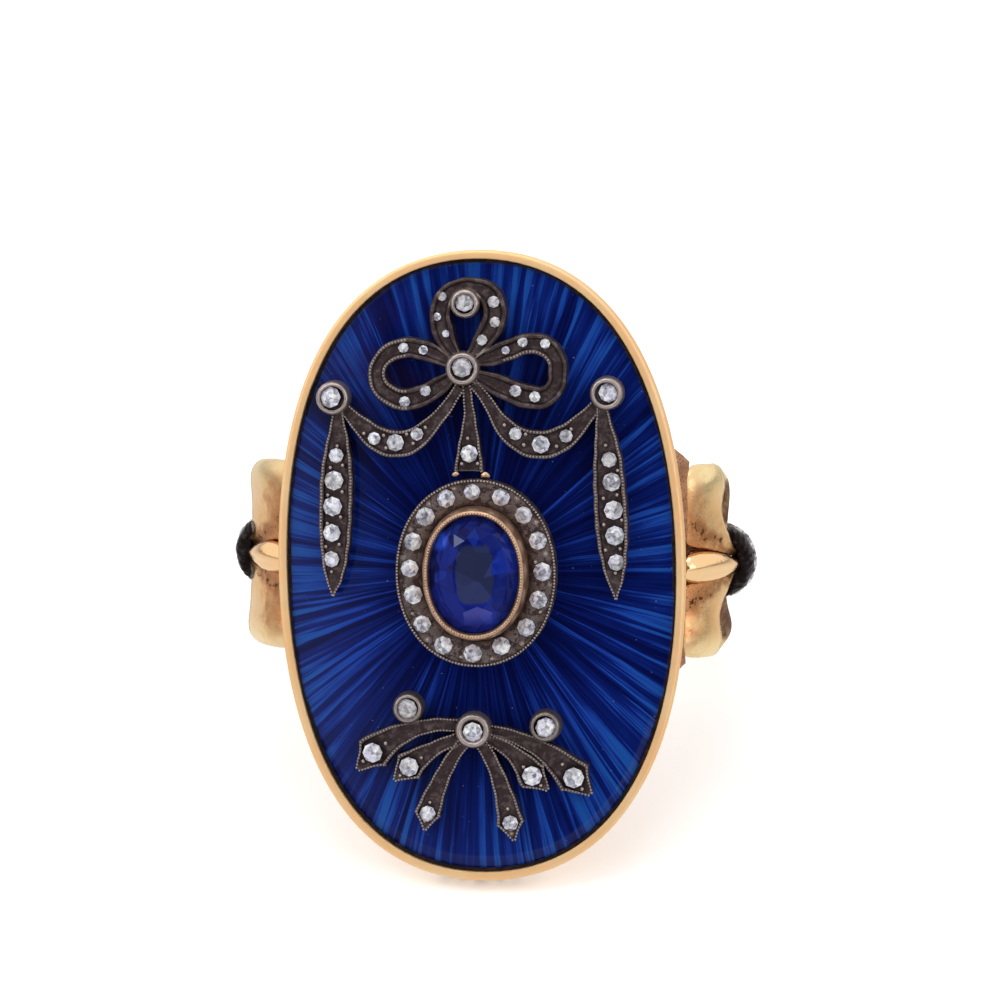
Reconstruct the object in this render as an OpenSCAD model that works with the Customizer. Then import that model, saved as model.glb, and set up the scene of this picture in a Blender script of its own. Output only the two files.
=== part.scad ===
// Sapphire and diamond ring: a long oval enamelled plate on a gold hoop with ribbon-bow shoulders,
// dressed with a silver bow garland, a halo round an oval sapphire and a silver spray.
// Ring frame: X across the finger, Y along it, Z out through the plate, zero at the finger's centre.
// Plate frame: the ring frame turned about Z by plate_turn, with the oval's centre on Z.
// At the end every piece is laid down as the ring lies on a table, on the plate's foot and the hoop's edge.

/* [Hoop] */
// Inside diameter of the finger hole
bore_d = 18; // [16:0.1:20]
// Width of the hoop along the finger
hoop_w = 3.2; // [2.6:0.1:4]
// Thickness of the hoop at its base
hoop_t = 1.9; // [1.6:0.1:2.4]

/* [Plate] */
// Length of the oval plate over its rim
plate_l = 30; // [28:0.5:32]
// Width of the oval plate over its rim
plate_w = 19.35; // [18.5:0.05:20.5]
// Squareness of the oval, where 2 is a true ellipse
plate_power = 2.28; // [2:0.01:2.5]
// Width of the rim's gold face
rim_w = 0.4; // [0.3:0.05:0.6]
// Height of the plate's tray, from its underside to the top of the rim
tray_h = 1.4; // [1.2:0.1:1.8]
// Height of the rim's top above the finger's centre
rim_z = 12.5; // [12.3:0.1:13.2]
// Turn of the plate on the hoop, in degrees
plate_turn = 2.2; // [0:0.1:3]
// Height of the enamel's crown over its edge
crown_h = 0.75; // [0.4:0.05:1]

/* [Shoulders] */
// Reach of the ribbon loops from the finger's centre
loop_r = 13.3; // [12.9:0.1:13.6]
// Length of the two ribbon loops together, along the finger
loop_span = 9.2; // [8.6:0.1:9.6]
// Thickness of the loops' gold sheet
sheet_t = 0.35; // [0.3:0.05:0.5]

/* [Silver] */
// Height of the silver ribbons over the enamel
ribbon_h = 0.9; // [0.7:0.05:1.1]
// Width of a ribbon's raised edge
edge_w = 0.17; // [0.12:0.01:0.22]
// Depth of a ribbon's floor below its edges
floor_d = 0.16; // [0.1:0.01:0.25]
// Height of the round collets over the enamel
collet_h = 1.3; // [1.1:0.05:1.6]

/* [Sapphire] */
// Width of the sapphire
gem_w = 4.4; // [4.2:0.05:4.6]
// Length of the sapphire
gem_l = 5.7; // [5.5:0.05:5.9]
// Height of the sapphire's gold collet over the enamel
gem_collet_h = 2.3; // [2.1:0.1:2.6]

/* [Hidden] */

// Clear space left between a piece and what carries it
gap = 0.05;
bore_r = bore_d / 2;
round_steps = 120;

// Hoop: a crowned band turned about a centre that lies a little above the finger's centre
hoop_rise = 0.6;
crown_r = 2;
hoop_out_r = bore_r + hoop_t + hoop_rise;
crown_c = hoop_out_r - crown_r;
hoop_edge_r = crown_c + sqrt(crown_r * crown_r - hoop_w * hoop_w / 4);

// Plate: half sizes of the rim's outside, of the pocket and of the enamel in it
plate_a = plate_w / 2;
plate_b = plate_l / 2;
tray_under_z = rim_z - tray_h;
pocket_floor_z = tray_under_z + 0.5;
enamel_gap = 0.1;
enamel_a = plate_a - rim_w - enamel_gap;
enamel_b = plate_b - rim_w - enamel_gap;
enamel_edge_z = rim_z - 0.3;
oval_steps = 96;

// Shoulders: the ribbon loops lie between two upright planes, from loop_in_x to loop_out_x
loop_in_x = 9.65;
loop_out_x = 11.5;
fold_r = 0.7;
pinch_r = 0.24;
band_t = 1;
band_out_r = bore_r + band_t;
band_half = loop_span / 2 - 0.35;
wall_t = 0.5;
overlap = 0.07;

// Silver knots: a crescent collar that hugs the gathered neck of the shoulder. Its stones stand at these
// angles round its outer face
knot_x = 10.85;
knot_z = 4.6;
knot_lean = -3;
knot_r = 1.8;
knot_hollow_r = 1.45;
knot_hollow_x = -0.65;
knot_h = 2.6;
knot_stone_d = 0.8;
knot_angles = [-56, -28, 0, 28, 56];

// Rest pose: the foot of the plate and the lower edge of the hoop touch the table together
lay_turn = atan2(tray_under_z + hoop_edge_r - hoop_rise, plate_b - hoop_w / 2);
lay_lift = plate_b * sin(lay_turn) - tray_under_z * cos(lay_turn);
lay_front = plate_b * cos(lay_turn) + rim_z * sin(lay_turn);
lay_back = (crown_c - hoop_rise) * sin(lay_turn) + crown_r;

// Columns of a ribbon's stations: place on the plate and full width
SX = 0;
SY = 1;
SW = 2;
TOP_LOOP = [[-0.95, 10.0, 0.5], [-1.5, 10.95, 0.8], [-1.72, 12.0, 0.8], [-1.45, 12.85, 0.75],
            [-0.8, 13.3, 0.7], [-0.1, 13.35, 0.7], [0.6, 13.1, 0.9], [1.0, 12.45, 1.0], [1.0, 11.7, 1.0],
            [0.55, 10.9, 0.9], [-0.15, 10.0, 0.5]];
LEFT_LOOP = [[-1.1, 9.75, 0.5], [-1.8, 10.15, 0.75], [-2.6, 10.45, 0.75], [-3.45, 10.52, 0.75],
             [-4.2, 10.2, 0.65], [-4.7, 9.5, 0.6], [-4.65, 8.75, 0.65], [-4.15, 8.2, 0.75],
             [-3.4, 7.95, 0.85], [-2.5, 8.15, 0.85], [-1.7, 8.6, 0.8], [-1.1, 9.1, 0.5]];
RIGHT_LOOP = [[-0.1, 9.8, 0.5], [0.8, 10.05, 0.8], [1.6, 10.35, 0.85], [2.5, 10.62, 0.8],
              [3.3, 10.5, 0.8], [3.85, 9.95, 0.75], [3.98, 9.2, 0.65], [3.85, 8.5, 0.7],
              [3.3, 7.98, 0.85], [2.5, 7.98, 0.95], [1.6, 8.3, 0.95], [0.7, 8.75, 0.85], [-0.1, 9.1, 0.5]];
LEFT_SWAG = [[-0.75, 8.55, 0.5], [-1.45, 7.55, 0.6], [-2.15, 6.8, 0.8], [-3.0, 6.12, 1.15],
             [-3.85, 5.93, 1.28], [-4.75, 6.22, 1.2], [-5.5, 6.85, 0.85], [-6.3, 7.65, 0.55]];
RIGHT_SWAG = [[-0.1, 8.75, 0.45], [0.65, 7.75, 0.55], [1.15, 6.9, 0.8], [1.95, 6.12, 1.15],
              [3.05, 5.78, 1.35], [4.15, 6.12, 1.2], [4.95, 6.8, 0.85], [5.75, 7.65, 0.55]];
CENTRE_RIBBON = [[-0.42, 8.6, 0.4], [-0.3, 7.2, 0.55], [-0.33, 6.1, 0.95], [-0.36, 5.3, 1.22],
                 [-0.38, 4.6, 1.42]];
LEFT_DROP = [[-6.6, 7.6, 0.45], [-6.6, 6.5, 0.9], [-6.66, 5.4, 1.35], [-6.72, 4.3, 1.6],
             [-6.77, 3.2, 1.62], [-6.82, 2.1, 1.58], [-6.86, 1.0, 1.4], [-6.91, 0.0, 1.08],
             [-6.95, -0.7, 0.6], [-6.98, -1.15, 0.2]];
RIGHT_DROP = [[5.95, 7.6, 0.45], [6.05, 6.5, 0.85], [6.18, 5.2, 1.3], [6.22, 4.1, 1.48], [6.27, 3.0, 1.56],
              [6.31, 1.9, 1.56], [6.36, 0.8, 1.38], [6.41, -0.2, 1.05], [6.44, -0.9, 0.62],
              [6.46, -1.5, 0.22]];

// Columns of a round collet: name of its stone, place on the plate, outside and stone diameters
CX = 1;
CY = 2;
CD = 3;
CS = 4;
COLLET_STONES = [["bow_top_diamond", -0.42, 12.52, 1.4, 0.98],
                 ["bow_centre_diamond", -0.58, 9.45, 1.62, 0.98],
                 ["left_collet_diamond", -6.8, 8.15, 1.6, 1.05],
                 ["right_collet_diamond", 6.2, 8.15, 1.58, 0.95],
                 ["spray_centre_diamond", -0.43, -7.7, 1.68, 0.95],
                 ["spray_left_diamond", -3.5, -6.6, 1.46, 1.05],
                 ["spray_right_diamond", 3.0, -7.55, 1.5, 1.02]];

// Columns of a set stone: place on the plate and diameter
DX = 0;
DY = 1;
DD = 2;
LEFT_DROP_STONES = [[-6.62, 5.4, 0.72], [-6.75, 4.22, 0.94], [-6.84, 3.0, 0.94], [-6.9, 1.75, 0.86],
                    [-6.95, 0.5, 0.78]];
RIGHT_DROP_STONES = [[6.18, 5.0, 0.74], [6.28, 3.95, 0.9], [6.34, 2.62, 0.92], [6.38, 1.42, 0.94],
                     [6.42, 0.15, 0.8]];
BOW_STONES = [[-1.5, 12.8, 0.44], [-1.75, 11.85, 0.4], [-1.35, 11.05, 0.36],
              [0.92, 12.5, 0.58], [0.97, 11.55, 0.52], [0.35, 10.72, 0.52],
              [-3.35, 10.42, 0.5], [-2.42, 10.3, 0.46], [-2.35, 8.4, 0.54], [-3.33, 7.88, 0.54],
              [1.45, 10.22, 0.4], [2.25, 10.6, 0.5], [3.3, 10.5, 0.48],
              [1.88, 8.32, 0.58], [2.78, 8.02, 0.54]];
SWAG_STONES = [[-4.8, 6.18, 0.62], [-3.8, 5.97, 0.84], [-2.78, 6.36, 0.62],
               [1.85, 6.3, 0.62], [3.02, 5.78, 0.86], [4.2, 6.15, 0.64], [-0.34, 5.4, 0.84]];
HALO_STONES = [[-0.22, 3.63, 0.8], [1.15, 3.36, 0.86], [2.2, 2.5, 0.84], [2.86, 1.28, 0.88],
               [3.04, -0.2, 0.9], [2.82, -1.52, 0.88], [2.22, -2.82, 0.88], [1.02, -3.68, 0.88],
               [-0.34, -4.02, 0.9], [-1.74, -3.62, 0.9], [-2.72, -2.6, 0.86], [-3.12, -1.2, 0.92],
               [-3.26, 0.05, 0.86], [-3.08, 1.32, 0.88], [-2.46, 2.5, 0.92], [-1.46, 3.34, 0.88]];

// Columns of a spray arm: start of its midline, the bend's pull, the head's centre, its heading in degrees,
// size of its kite head and its stone's diameter
ARM_START = 0;
ARM_PULL = 1;
ARM_HEAD = 2;
ARM_TURN = 3;
ARM_SIZE = 4;
ARM_STONE = 5;
ARMS = [[[-1.05, -7.5], [-3.3, -7.15], [-5.22, -8.7], 226, 1.0, 0.96],
        [[-1.0, -8.05], [-2.5, -8.5], [-3.52, -9.38], 222, 0.86, 0.94],
        [[-0.85, -8.25], [-1.85, -9.3], [-2.7, -11.62], 258, 0.72, 0.78],
        [[-0.1, -8.3], [0.8, -9.6], [1.2, -12.12], 280, 0.74, 0.76],
        [[0.15, -8.1], [1.5, -8.6], [2.28, -9.88], 316, 0.88, 0.96],
        [[0.25, -7.75], [2.6, -8.1], [4.22, -10.0], 313, 1.02, 1.0]];
layer_step = 0.02;
arm_start_w = 0.42;
arm_steps = 6;
head_point = 1.2;
head_side = 0.92;
head_side_turn = 68;

// Halo and sapphire: both stand round this place on the plate
halo_x = -0.12;
halo_y = -0.22;
halo_a = 3.82;
halo_b = 4.46;
halo_in_a = 2.62;
halo_in_b = 3.28;
halo_h = 1.0;
halo_steps = 56;
halo_power = 2.1;
gem_steps = 40;
gem_facets = 16;

// Heights of the stones' girdles: over the enamel on ribbons and collets, over its foot on the halo
ribbon_girdle = ribbon_h - 0.12;
collet_girdle = collet_h - 0.2;
halo_girdle = halo_h - 0.12;

// Points on an oval whose sides grow square as the power rises above 2
function oval(a, b, power, steps) =
    [for (i = [0:steps - 1]) let (t = 360 * i / steps, c = cos(t), s = sin(t))
        [a * sign(c) * pow(abs(c), 2 / power), b * sign(s) * pow(abs(s), 2 / power)]];

// Share of the way from the plate's centre to the enamel's edge, and the enamel's height and slope there
function share(x, y) =
    pow(pow(abs(x) / enamel_a, plate_power) + pow(abs(y) / enamel_b, plate_power), 1 / plate_power);
function dome(x, y) = enamel_edge_z + crown_h * (1 - pow(share(x, y), 2));
slope_step = 0.2;
function slope_x(x, y) = (dome(x + slope_step, y) - dome(x - slope_step, y)) / (2 * slope_step);
function slope_y(x, y) = (dome(x, y + slope_step) - dome(x, y - slope_step)) / (2 * slope_step);
function tilt(x, y) =
    let (gx = slope_x(x, y), gy = slope_y(x, y))
        [asin(gy / sqrt(1 + gx * gx + gy * gy)), -atan(gx), 0];

// Teardrop outline round two circles, each given as [x, y, r], the second the smaller one
function teardrop(big, small, steps) =
    let (dx = small[0] - big[0], dy = small[1] - big[1],
         way = atan2(dy, dx), half = acos((big[2] - small[2]) / sqrt(dx * dx + dy * dy)))
        concat([for (i = [0:steps]) let (t = way + half + i * (360 - 2 * half) / steps)
                    [big[0] + big[2] * cos(t), big[1] + big[2] * sin(t)]],
               [for (i = [0:4]) let (t = way - half + i * half / 2)
                    [small[0] + small[2] * cos(t), small[1] + small[2] * sin(t)]]);

// Foot of the halo, then the sapphire's collet and its girdle
halo_base_z = dome(0, 0) + gap;
collet_top_z = halo_base_z + gem_collet_h;
collet_in_a = gem_w / 2 + gap;
collet_in_b = gem_l / 2 + gap;
gem_girdle_z = collet_top_z - 0.35;

// A point on a bend from p to r that is pulled towards q
function bend(p, q, r, t) = (1 - t) * (1 - t) * p + 2 * t * (1 - t) * q + t * t * r;

module laid() {
    translate([0, (lay_front - lay_back) / 2, lay_lift]) rotate([lay_turn, 0, 0]) children();
}

module on_plate() {
    laid() rotate([0, 0, plate_turn]) children();
}

// Stands a shape on the enamel, square to its slope
module on_dome(x, y) {
    translate([x, y, dome(x, y)]) rotate(tilt(x, y)) children();
}

// Turns a shape drawn as [radius, along the finger] about the finger's axis, from one angle to another
module about_finger(from, to) {
    rotate([90, 0, 0]) rotate([0, 0, from]) rotate_extrude(angle = to - from, $fn = round_steps) children();
}

// A cylinder round the finger's axis
module finger_round(r) {
    rotate([90, 0, 0]) cylinder(r = r, h = 2 * loop_span, center = true, $fn = round_steps);
}

// Draws a shape as [along the finger, height] and pulls it through the ring from side to side
module across(from, to) {
    translate([from, 0, 0]) rotate([90, 0, 90]) linear_extrude(height = to - from) children();
}

// Draws a shape as [across the finger, height] and pulls it along the finger
module along(from, to) {
    translate([0, to, 0]) rotate([90, 0, 0]) linear_extrude(height = to - from) children();
}

module both_sides() {
    children();
    mirror([1, 0, 0]) children();
}

module both_ends() {
    children();
    mirror([0, 1, 0]) children();
}

// Hoop's crowned band, up to the shoulders' necks
module hoop() {
    top_z = 5.2;
    intersection() {
        translate([0, 0, hoop_rise]) rotate([90, 0, 0]) rotate_extrude($fn = round_steps) intersection() {
            translate([bore_r - hoop_rise - 0.4, -hoop_w / 2]) square([crown_r + hoop_t, hoop_w]);
            translate([crown_c, 0]) circle(r = crown_r, $fn = 48);
        }
        translate([-hoop_out_r, -hoop_w, top_z - 2 * hoop_out_r])
            cube([2 * hoop_out_r, 2 * hoop_w, 2 * hoop_out_r]);
    }
}

// Half width of the inner band, which widens from the hoop to nearly the full span of the loops
function band_half_at(z) =
    let (foot = hoop_w / 2 - 0.1, t = min(1, max(0, (z - 1) / 6.5)))
        foot + (band_half - foot) * (1 - cos(180 * t)) / 2;

module inner_band() {
    steps = 13;
    heights = [for (i = [0:steps]) -0.5 + i * tray_under_z / steps];
    intersection() {
        finger_round(band_out_r);
        across(-loop_r, loop_r) polygon(concat(
            [for (z = heights) [band_half_at(z), z]],
            [for (i = [steps:-1:0]) [-band_half_at(heights[i]), heights[i]]]));
    }
}

// Pointed window through the band below the leaf
module band_window() {
    tall = 9.3;
    foot = 1.2;
    half = 1.15;
    steps = 8;
    across(bore_r - 3, loop_in_x) polygon(concat(
        [for (i = [0:steps]) [half * sin(180 * i / steps), foot + tall * i / steps]],
        [for (i = [steps - 1:-1:1]) [-half * sin(180 * i / steps), foot + tall * i / steps]]));
}

// One ribbon loop: a flattened roll of sheet, open at both mouths
module ribbon_loop() {
    fold_y = loop_span / 2 - fold_r;
    intersection() {
        about_finger(18, 50) difference() {
            polygon(teardrop([loop_r - fold_r, fold_y, fold_r], [loop_r - 0.55, 0.72, pinch_r], 20));
            polygon(teardrop([loop_r - fold_r, fold_y, fold_r - sheet_t],
                             [loop_r - 0.6, 1.5, 0.1], 16));
        }
        along(-loop_span, loop_span)
            polygon([[loop_in_x - overlap, 2], [loop_out_x + 0.25, 2], [loop_out_x + 0.25, 4],
                     [loop_out_x, 7], [loop_out_x, 12], [loop_in_x - overlap, 12]]);
    }
}

// Hollow in the loops' outer edge, where the front sheet is drawn in
module loop_edge_hollow() {
    hollow_r = 4;
    for (side = [-1, 1]) translate([loop_out_x + hollow_r - 0.2, side * loop_span / 4, 5.9])
        cylinder(r = hollow_r, h = 4, $fn = 96);
}

// Pointed leaf between the loops, from the plate down to the neck
module leaf() {
    leaf_l = 3.5;
    leaf_r = 0.68;
    rows = 10;
    translate([9.6, 0, 9.05]) rotate([0, 145, 0]) rotate_extrude($fn = 48)
        polygon(concat([[0, 0]],
                       [for (i = [1:rows]) let (t = i / (rows + 1))
                           [leaf_r * sqrt(sin(180 * pow(t, 0.75))), leaf_l * t]],
                       [[0, leaf_l]]));
}

// Gathered neck that the silver knot hugs, and the stem that joins the leaf to the plate
module neck() {
    stem_z = 8.2;
    at_knot() translate([knot_hollow_x - 0.15, 0, -1.7])
        cylinder(r = knot_hollow_r - 0.1, h = 3.1, $fn = 64);
    translate([9.35, -0.35, stem_z]) cylinder(r = 0.34, h = tray_under_z - stem_z + 0.2, $fn = 32);
}

// Gallery: a hollow collar between the plate's tray and the shoulders, as [height, half width, half length]
// from its foot to its top, where it reaches just into the tray. It is open below
GALLERY = [[5.7, 8.3, 3.9], [7.2, 9.2, 4.15], [8.3, 9.65, 4.4], [9.2, 9.65, 4.85], [10.3, 9.3, 5.15],
           [tray_under_z + 0.1, 9.1, 5.6]];
gallery_power = 6;
gallery_steps = 40;
roof_t = 0.2;
window_w = 2.3;
window_h = 3.2;
window_z = 9.4;
window_reach = 0.8;

module gallery_body(inset) {
    n = gallery_steps;
    last = (len(GALLERY) - 1) * n;
    points = [for (row = GALLERY) for (p = oval(row[1] - inset, row[2] - inset, gallery_power, n))
        [p[0], p[1], row[0]]];
    polyhedron(points, concat(
        [for (k = [0:len(GALLERY) - 2]) for (i = [0:n - 1]) let (a = k * n + i, b = k * n + (i + 1) % n)
            for (f = [[b, a, a + n], [b, a + n, b + n]]) f],
        [[for (i = [0:n - 1]) i], [for (i = [n - 1:-1:0]) last + i]]));
}

module gallery() {
    difference() {
        gallery_body(0);
        difference() {
            gallery_body(wall_t);
            translate([0, 0, tray_under_z]) cube([2 * plate_w, plate_l, 2 * roof_t], center = true);
            finger_round(band_out_r - 2 * gap);
        }
        both_sides() translate([loop_in_x - wall_t, 0, window_z])
            cube([2 * window_reach, window_w, window_h], center = true);
    }
}

module tray() {
    difference() {
        translate([0, 0, tray_under_z]) linear_extrude(height = tray_h)
            polygon(oval(plate_a, plate_b, plate_power, oval_steps));
        translate([0, 0, pocket_floor_z]) linear_extrude(height = tray_h)
            polygon(oval(plate_a - rim_w, plate_b - rim_w, plate_power, oval_steps));
    }
}

// Outline of a silver knot's crescent, with room added all round
module crescent(room) {
    difference() {
        intersection() {
            circle(r = knot_r + room, $fn = 96);
            translate([0.1 - room, -2 * knot_r]) square(4 * knot_r);
        }
        translate([knot_hollow_x, 0]) circle(r = knot_hollow_r - room, $fn = 96);
    }
}

module at_knot() {
    translate([knot_x, 0, knot_z]) rotate([0, knot_lean, 0]) children();
}

module knot_block(room) {
    at_knot() linear_extrude(height = knot_h + 2 * room, center = true) crescent(room);
}

module at_knot_stones() {
    at_knot() for (turn = knot_angles) rotate([0, 0, turn]) translate([knot_r - 0.06, 0, 0])
        rotate([0, 90, 0]) children();
}

// Room for the knot's stones, cut into the silver and into any gold beside it
module knot_seats() {
    seat_depth = 0.36;
    at_knot_stones() translate([0, 0, -seat_depth]) cylinder(r = knot_stone_d / 2 + gap, h = 1, $fn = 24);
}

module knot_silver() {
    color([0.32, 0.29, 0.28]) difference() {
        knot_block(0);
        knot_seats();
    }
}

module mount() {
    color([0.86, 0.66, 0.4]) laid() difference() {
        union() {
            hoop();
            difference() {
                inner_band();
                both_sides() band_window();
            }
            gallery();
            rotate([0, 0, plate_turn]) tray();
            both_sides() {
                difference() {
                    both_ends() ribbon_loop();
                    loop_edge_hollow();
                }
                leaf();
                neck();
            }
        }
        both_sides() {
            knot_block(gap);
            knot_seats();
        }
        finger_round(bore_r);
    }
}

// Enamel: a low cushion of glass, made of rings of points from its edge to its crown
module enamel_plate() {
    rings = [1, 0.98, 0.9, 0.75, 0.52, 0.27];
    steps = 56;
    under_z = pocket_floor_z + gap;
    top = [for (s = rings) for (p = oval(enamel_a * s, enamel_b * s, plate_power, steps))
              [p[0], p[1], dome(p[0], p[1]) - gap]];
    edge = oval(enamel_a, enamel_b, plate_power, steps);
    under = [for (p = edge) [p[0], p[1], under_z]];
    points = concat(under, top, [[0, 0, dome(0, 0) - gap], [0, 0, under_z]]);
    layers = len(rings);
    crown_at = steps * (layers + 1);
    color([0.06, 0.12, 0.5]) on_plate() polyhedron(points, concat(
        [for (k = [0:layers - 1]) for (i = [0:steps - 1]) let (j = (i + 1) % steps)
            for (t = [[k * steps + j, k * steps + i, (k + 1) * steps + i],
                      [k * steps + j, (k + 1) * steps + i, (k + 1) * steps + j]]) t],
        [for (i = [0:steps - 1]) [layers * steps + (i + 1) % steps, layers * steps + i, crown_at]],
        [for (i = [0:steps - 1]) [i, (i + 1) % steps, crown_at + 1]]));
}

// A place on the smooth curve through the stations, t of the way from station i to the next
function between(p, i, t) =
    let (n = len(p) - 1, a = p[max(0, i - 1)], b = p[i], c = p[min(n, i + 1)], d = p[min(n, i + 2)])
        b + (t * (c - a) + t * t * (2 * a - 5 * b + 4 * c - d) + t * t * t * (3 * b - a - 3 * c + d)) / 2;

function smooth(p) =
    concat([for (i = [0:len(p) - 2]) for (t = [0, 0.5]) between(p, i, t)], [p[len(p) - 1]]);

// Corners of a ribbon's section: side, share of the edge's width drawn in, and height
function section(foot, top) =
    [[1, 0, foot], [1, 0, top], [1, 1, top], [1, 1, top - floor_d],
     [-1, 1, top - floor_d], [-1, 1, top], [-1, 0, top], [-1, 0, foot]];

// Ribbon swept through its stations over the enamel, with a raised edge on each side of a sunk floor.
// Ribbons that cross lie in layers, each a little thinner than the one before
module ribbon(stations, layer) {
    path = smooth(stations);
    last = len(path) - 1;
    corners = section(gap + layer * layer_step / 2, ribbon_h - layer * layer_step);
    count = len(corners);
    points = [for (k = [0:last])
        let (here = path[k], step = path[min(last, k + 1)] - path[max(0, k - 1)],
             run = sqrt(step[0] * step[0] + step[1] * step[1]), half = here[SW] / 2,
             edge = min(edge_w, 0.45 * half))
            for (c = corners)
                let (out = c[0] * (half - c[1] * edge),
                     x = here[SX] - out * step[1] / run, y = here[SY] + out * step[0] / run)
                    [x, y, dome(x, y) + c[2]]];
    cap = [[0, 1, 2], [0, 2, 3], [0, 3, 4], [0, 4, 7], [7, 4, 5], [7, 5, 6]];
    polyhedron(points, concat(
        cap,
        [for (t = cap) [last * count + t[2], last * count + t[1], last * count + t[0]]],
        [for (k = [0:last - 1]) for (i = [0:count - 1])
            let (j = (i + 1) % count, a = k * count, b = a + count)
                for (t = [[a + i, b + i, b + j], [a + i, b + j, a + j]]) t]));
}

// Seat sunk into the silver for a stone of diameter d whose girdle lies at this height
module seat(x, y, d, girdle) {
    on_dome(x, y) hull() {
        translate([0, 0, girdle - 0.02]) cylinder(r = d / 2 + gap, h = 1, $fn = 8);
        translate([0, 0, girdle - 0.42 * d - gap]) cylinder(r = 0.16 * d, h = 0.1, $fn = 8);
    }
}

// Round collet, whose wall draws in a little to its lip
module collet(row) {
    lip = 0.08;
    on_dome(row[CX], row[CY]) hull() {
        translate([0, 0, gap]) cylinder(d = row[CD] + lip, h = lip, $fn = 16);
        translate([0, 0, collet_h - lip]) cylinder(d1 = row[CD], d2 = row[CD] - 2 * lip, h = lip, $fn = 16);
    }
}

module collet_seat(row) {
    seat(row[CX], row[CY], row[CS], collet_girdle);
}

module bow_garland() {
    ribbons = [TOP_LOOP, LEFT_LOOP, RIGHT_LOOP, LEFT_SWAG, RIGHT_SWAG, CENTRE_RIBBON,
               LEFT_DROP, RIGHT_DROP];
    color([0.33, 0.29, 0.27]) on_plate() difference() {
        union() {
            for (i = [0:len(ribbons) - 1]) ribbon(ribbons[i], i % 6 + 1);
            for (i = [0:3]) collet(COLLET_STONES[i]);
        }
        for (i = [0:3]) collet_seat(COLLET_STONES[i]);
        for (s = concat(BOW_STONES, SWAG_STONES, LEFT_DROP_STONES, RIGHT_DROP_STONES))
            seat(s[DX], s[DY], s[DD], ribbon_girdle);
    }
}

// Stations of a spray arm, which widens from the collet to its kite head
function arm_path(arm) =
    [for (i = [0:arm_steps])
        let (t = i / arm_steps, p = bend(arm[ARM_START], arm[ARM_PULL], arm[ARM_HEAD], t))
        [p[0], p[1], arm_start_w + (head_point * arm[ARM_SIZE] - arm_start_w) * pow(t, 1.7)]];

// Kite head of a spray arm, or its sunk floor: two shoulders, a point and a tail round its stone
module arm_head(arm, tail, low, high, inset) {
    size = arm[ARM_SIZE];
    c = arm[ARM_HEAD];
    corner_r = 0.08;
    corners = [[180, tail], [-head_side_turn, head_side], [0, head_point], [head_side_turn, head_side]];
    hull() for (k = corners) let (t = arm[ARM_TURN] + k[0], reach = k[1] * size - corner_r - inset,
                                  x = c[0] + reach * cos(t), y = c[1] + reach * sin(t))
        on_dome(x, y) translate([0, 0, low]) cylinder(r = corner_r, h = high - low, $fn = 8);
}

// Short bar that carries a side collet of the spray on the arm below it
module collet_stem(row, to) {
    hull() for (p = [[row[CX], row[CY]], to]) on_dome(p[0], p[1]) translate([0, 0, 3 * gap])
        cylinder(r = 0.25, h = 0.4, $fn = 8);
}

module spray() {
    color([0.33, 0.29, 0.27]) on_plate() difference() {
        union() {
            difference() {
                for (i = [0:5]) {
                    ribbon(arm_path(ARMS[i]), i + 1);
                    arm_head(ARMS[i], 0.5, gap, ribbon_h + layer_step, 0);
                }
                for (arm = ARMS)
                    arm_head(arm, 0.75, ribbon_h - floor_d - 7 * layer_step, ribbon_h + 0.3, edge_w);
            }
            collet_stem(COLLET_STONES[5], [-3.4, -7.6]);
            collet_stem(COLLET_STONES[6], [2.85, -8.8]);
            for (i = [4:6]) collet(COLLET_STONES[i]);
        }
        for (i = [4:6]) collet_seat(COLLET_STONES[i]);
        for (arm = ARMS) seat(arm[ARM_HEAD][0], arm[ARM_HEAD][1], arm[ARM_STONE], ribbon_girdle);
    }
}

// Halo: an upright silver oval with a sunk top, cut out in the middle for the sapphire's collet
module halo_frame() {
    inner_edge_w = 0.12;
    color([0.36, 0.32, 0.3]) on_plate() difference() {
        translate([halo_x, halo_y, halo_base_z]) difference() {
            linear_extrude(height = halo_h) polygon(oval(halo_a, halo_b, halo_power, halo_steps));
            translate([0, 0, -1]) linear_extrude(height = 4)
                polygon(oval(halo_in_a, halo_in_b, halo_power, halo_steps));
            translate([0, 0, halo_h - floor_d]) linear_extrude(height = 1) difference() {
                polygon(oval(halo_a - edge_w, halo_b - edge_w, halo_power, halo_steps));
                polygon(oval(halo_in_a + inner_edge_w, halo_in_b + inner_edge_w, halo_power, halo_steps));
            }
        }
        for (s = HALO_STONES) translate([s[DX], s[DY], halo_base_z + halo_girdle - 0.42 * s[DD] - gap])
            cylinder(r = s[DD] / 2 + gap, h = 2, $fn = 8);
    }
}

// Thin oval slab, drawn in by an inset, between which a collet's wall is stretched
module wall_ring(a, b, inset, z) {
    translate([0, 0, z]) linear_extrude(height = 0.01)
        polygon(oval(a - inset, b - inset, halo_power, gem_steps));
}

// Sapphire's collet: a tall oval wall that leans in to the stone, open in the middle
module sapphire_collet() {
    foot_a = halo_in_a - gap;
    foot_b = halo_in_b - gap;
    lean = 0.14;
    seat_z = gem_girdle_z - 0.5;
    color([0.8, 0.58, 0.35]) on_plate() translate([halo_x, halo_y, 0]) difference() {
        hull() {
            wall_ring(foot_a, foot_b, 0, halo_base_z);
            wall_ring(foot_a, foot_b, lean, collet_top_z - 0.15);
            wall_ring(foot_a, foot_b, 1.5 * lean, collet_top_z - 0.01);
        }
        translate([0, 0, seat_z]) linear_extrude(height = 2)
            polygon(oval(collet_in_a, collet_in_b, halo_power, gem_steps));
        hull() {
            wall_ring(collet_in_a, collet_in_b, 0.2, seat_z);
            wall_ring(collet_in_a, collet_in_b, 0.75, halo_base_z - 0.1);
        }
    }
}

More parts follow.
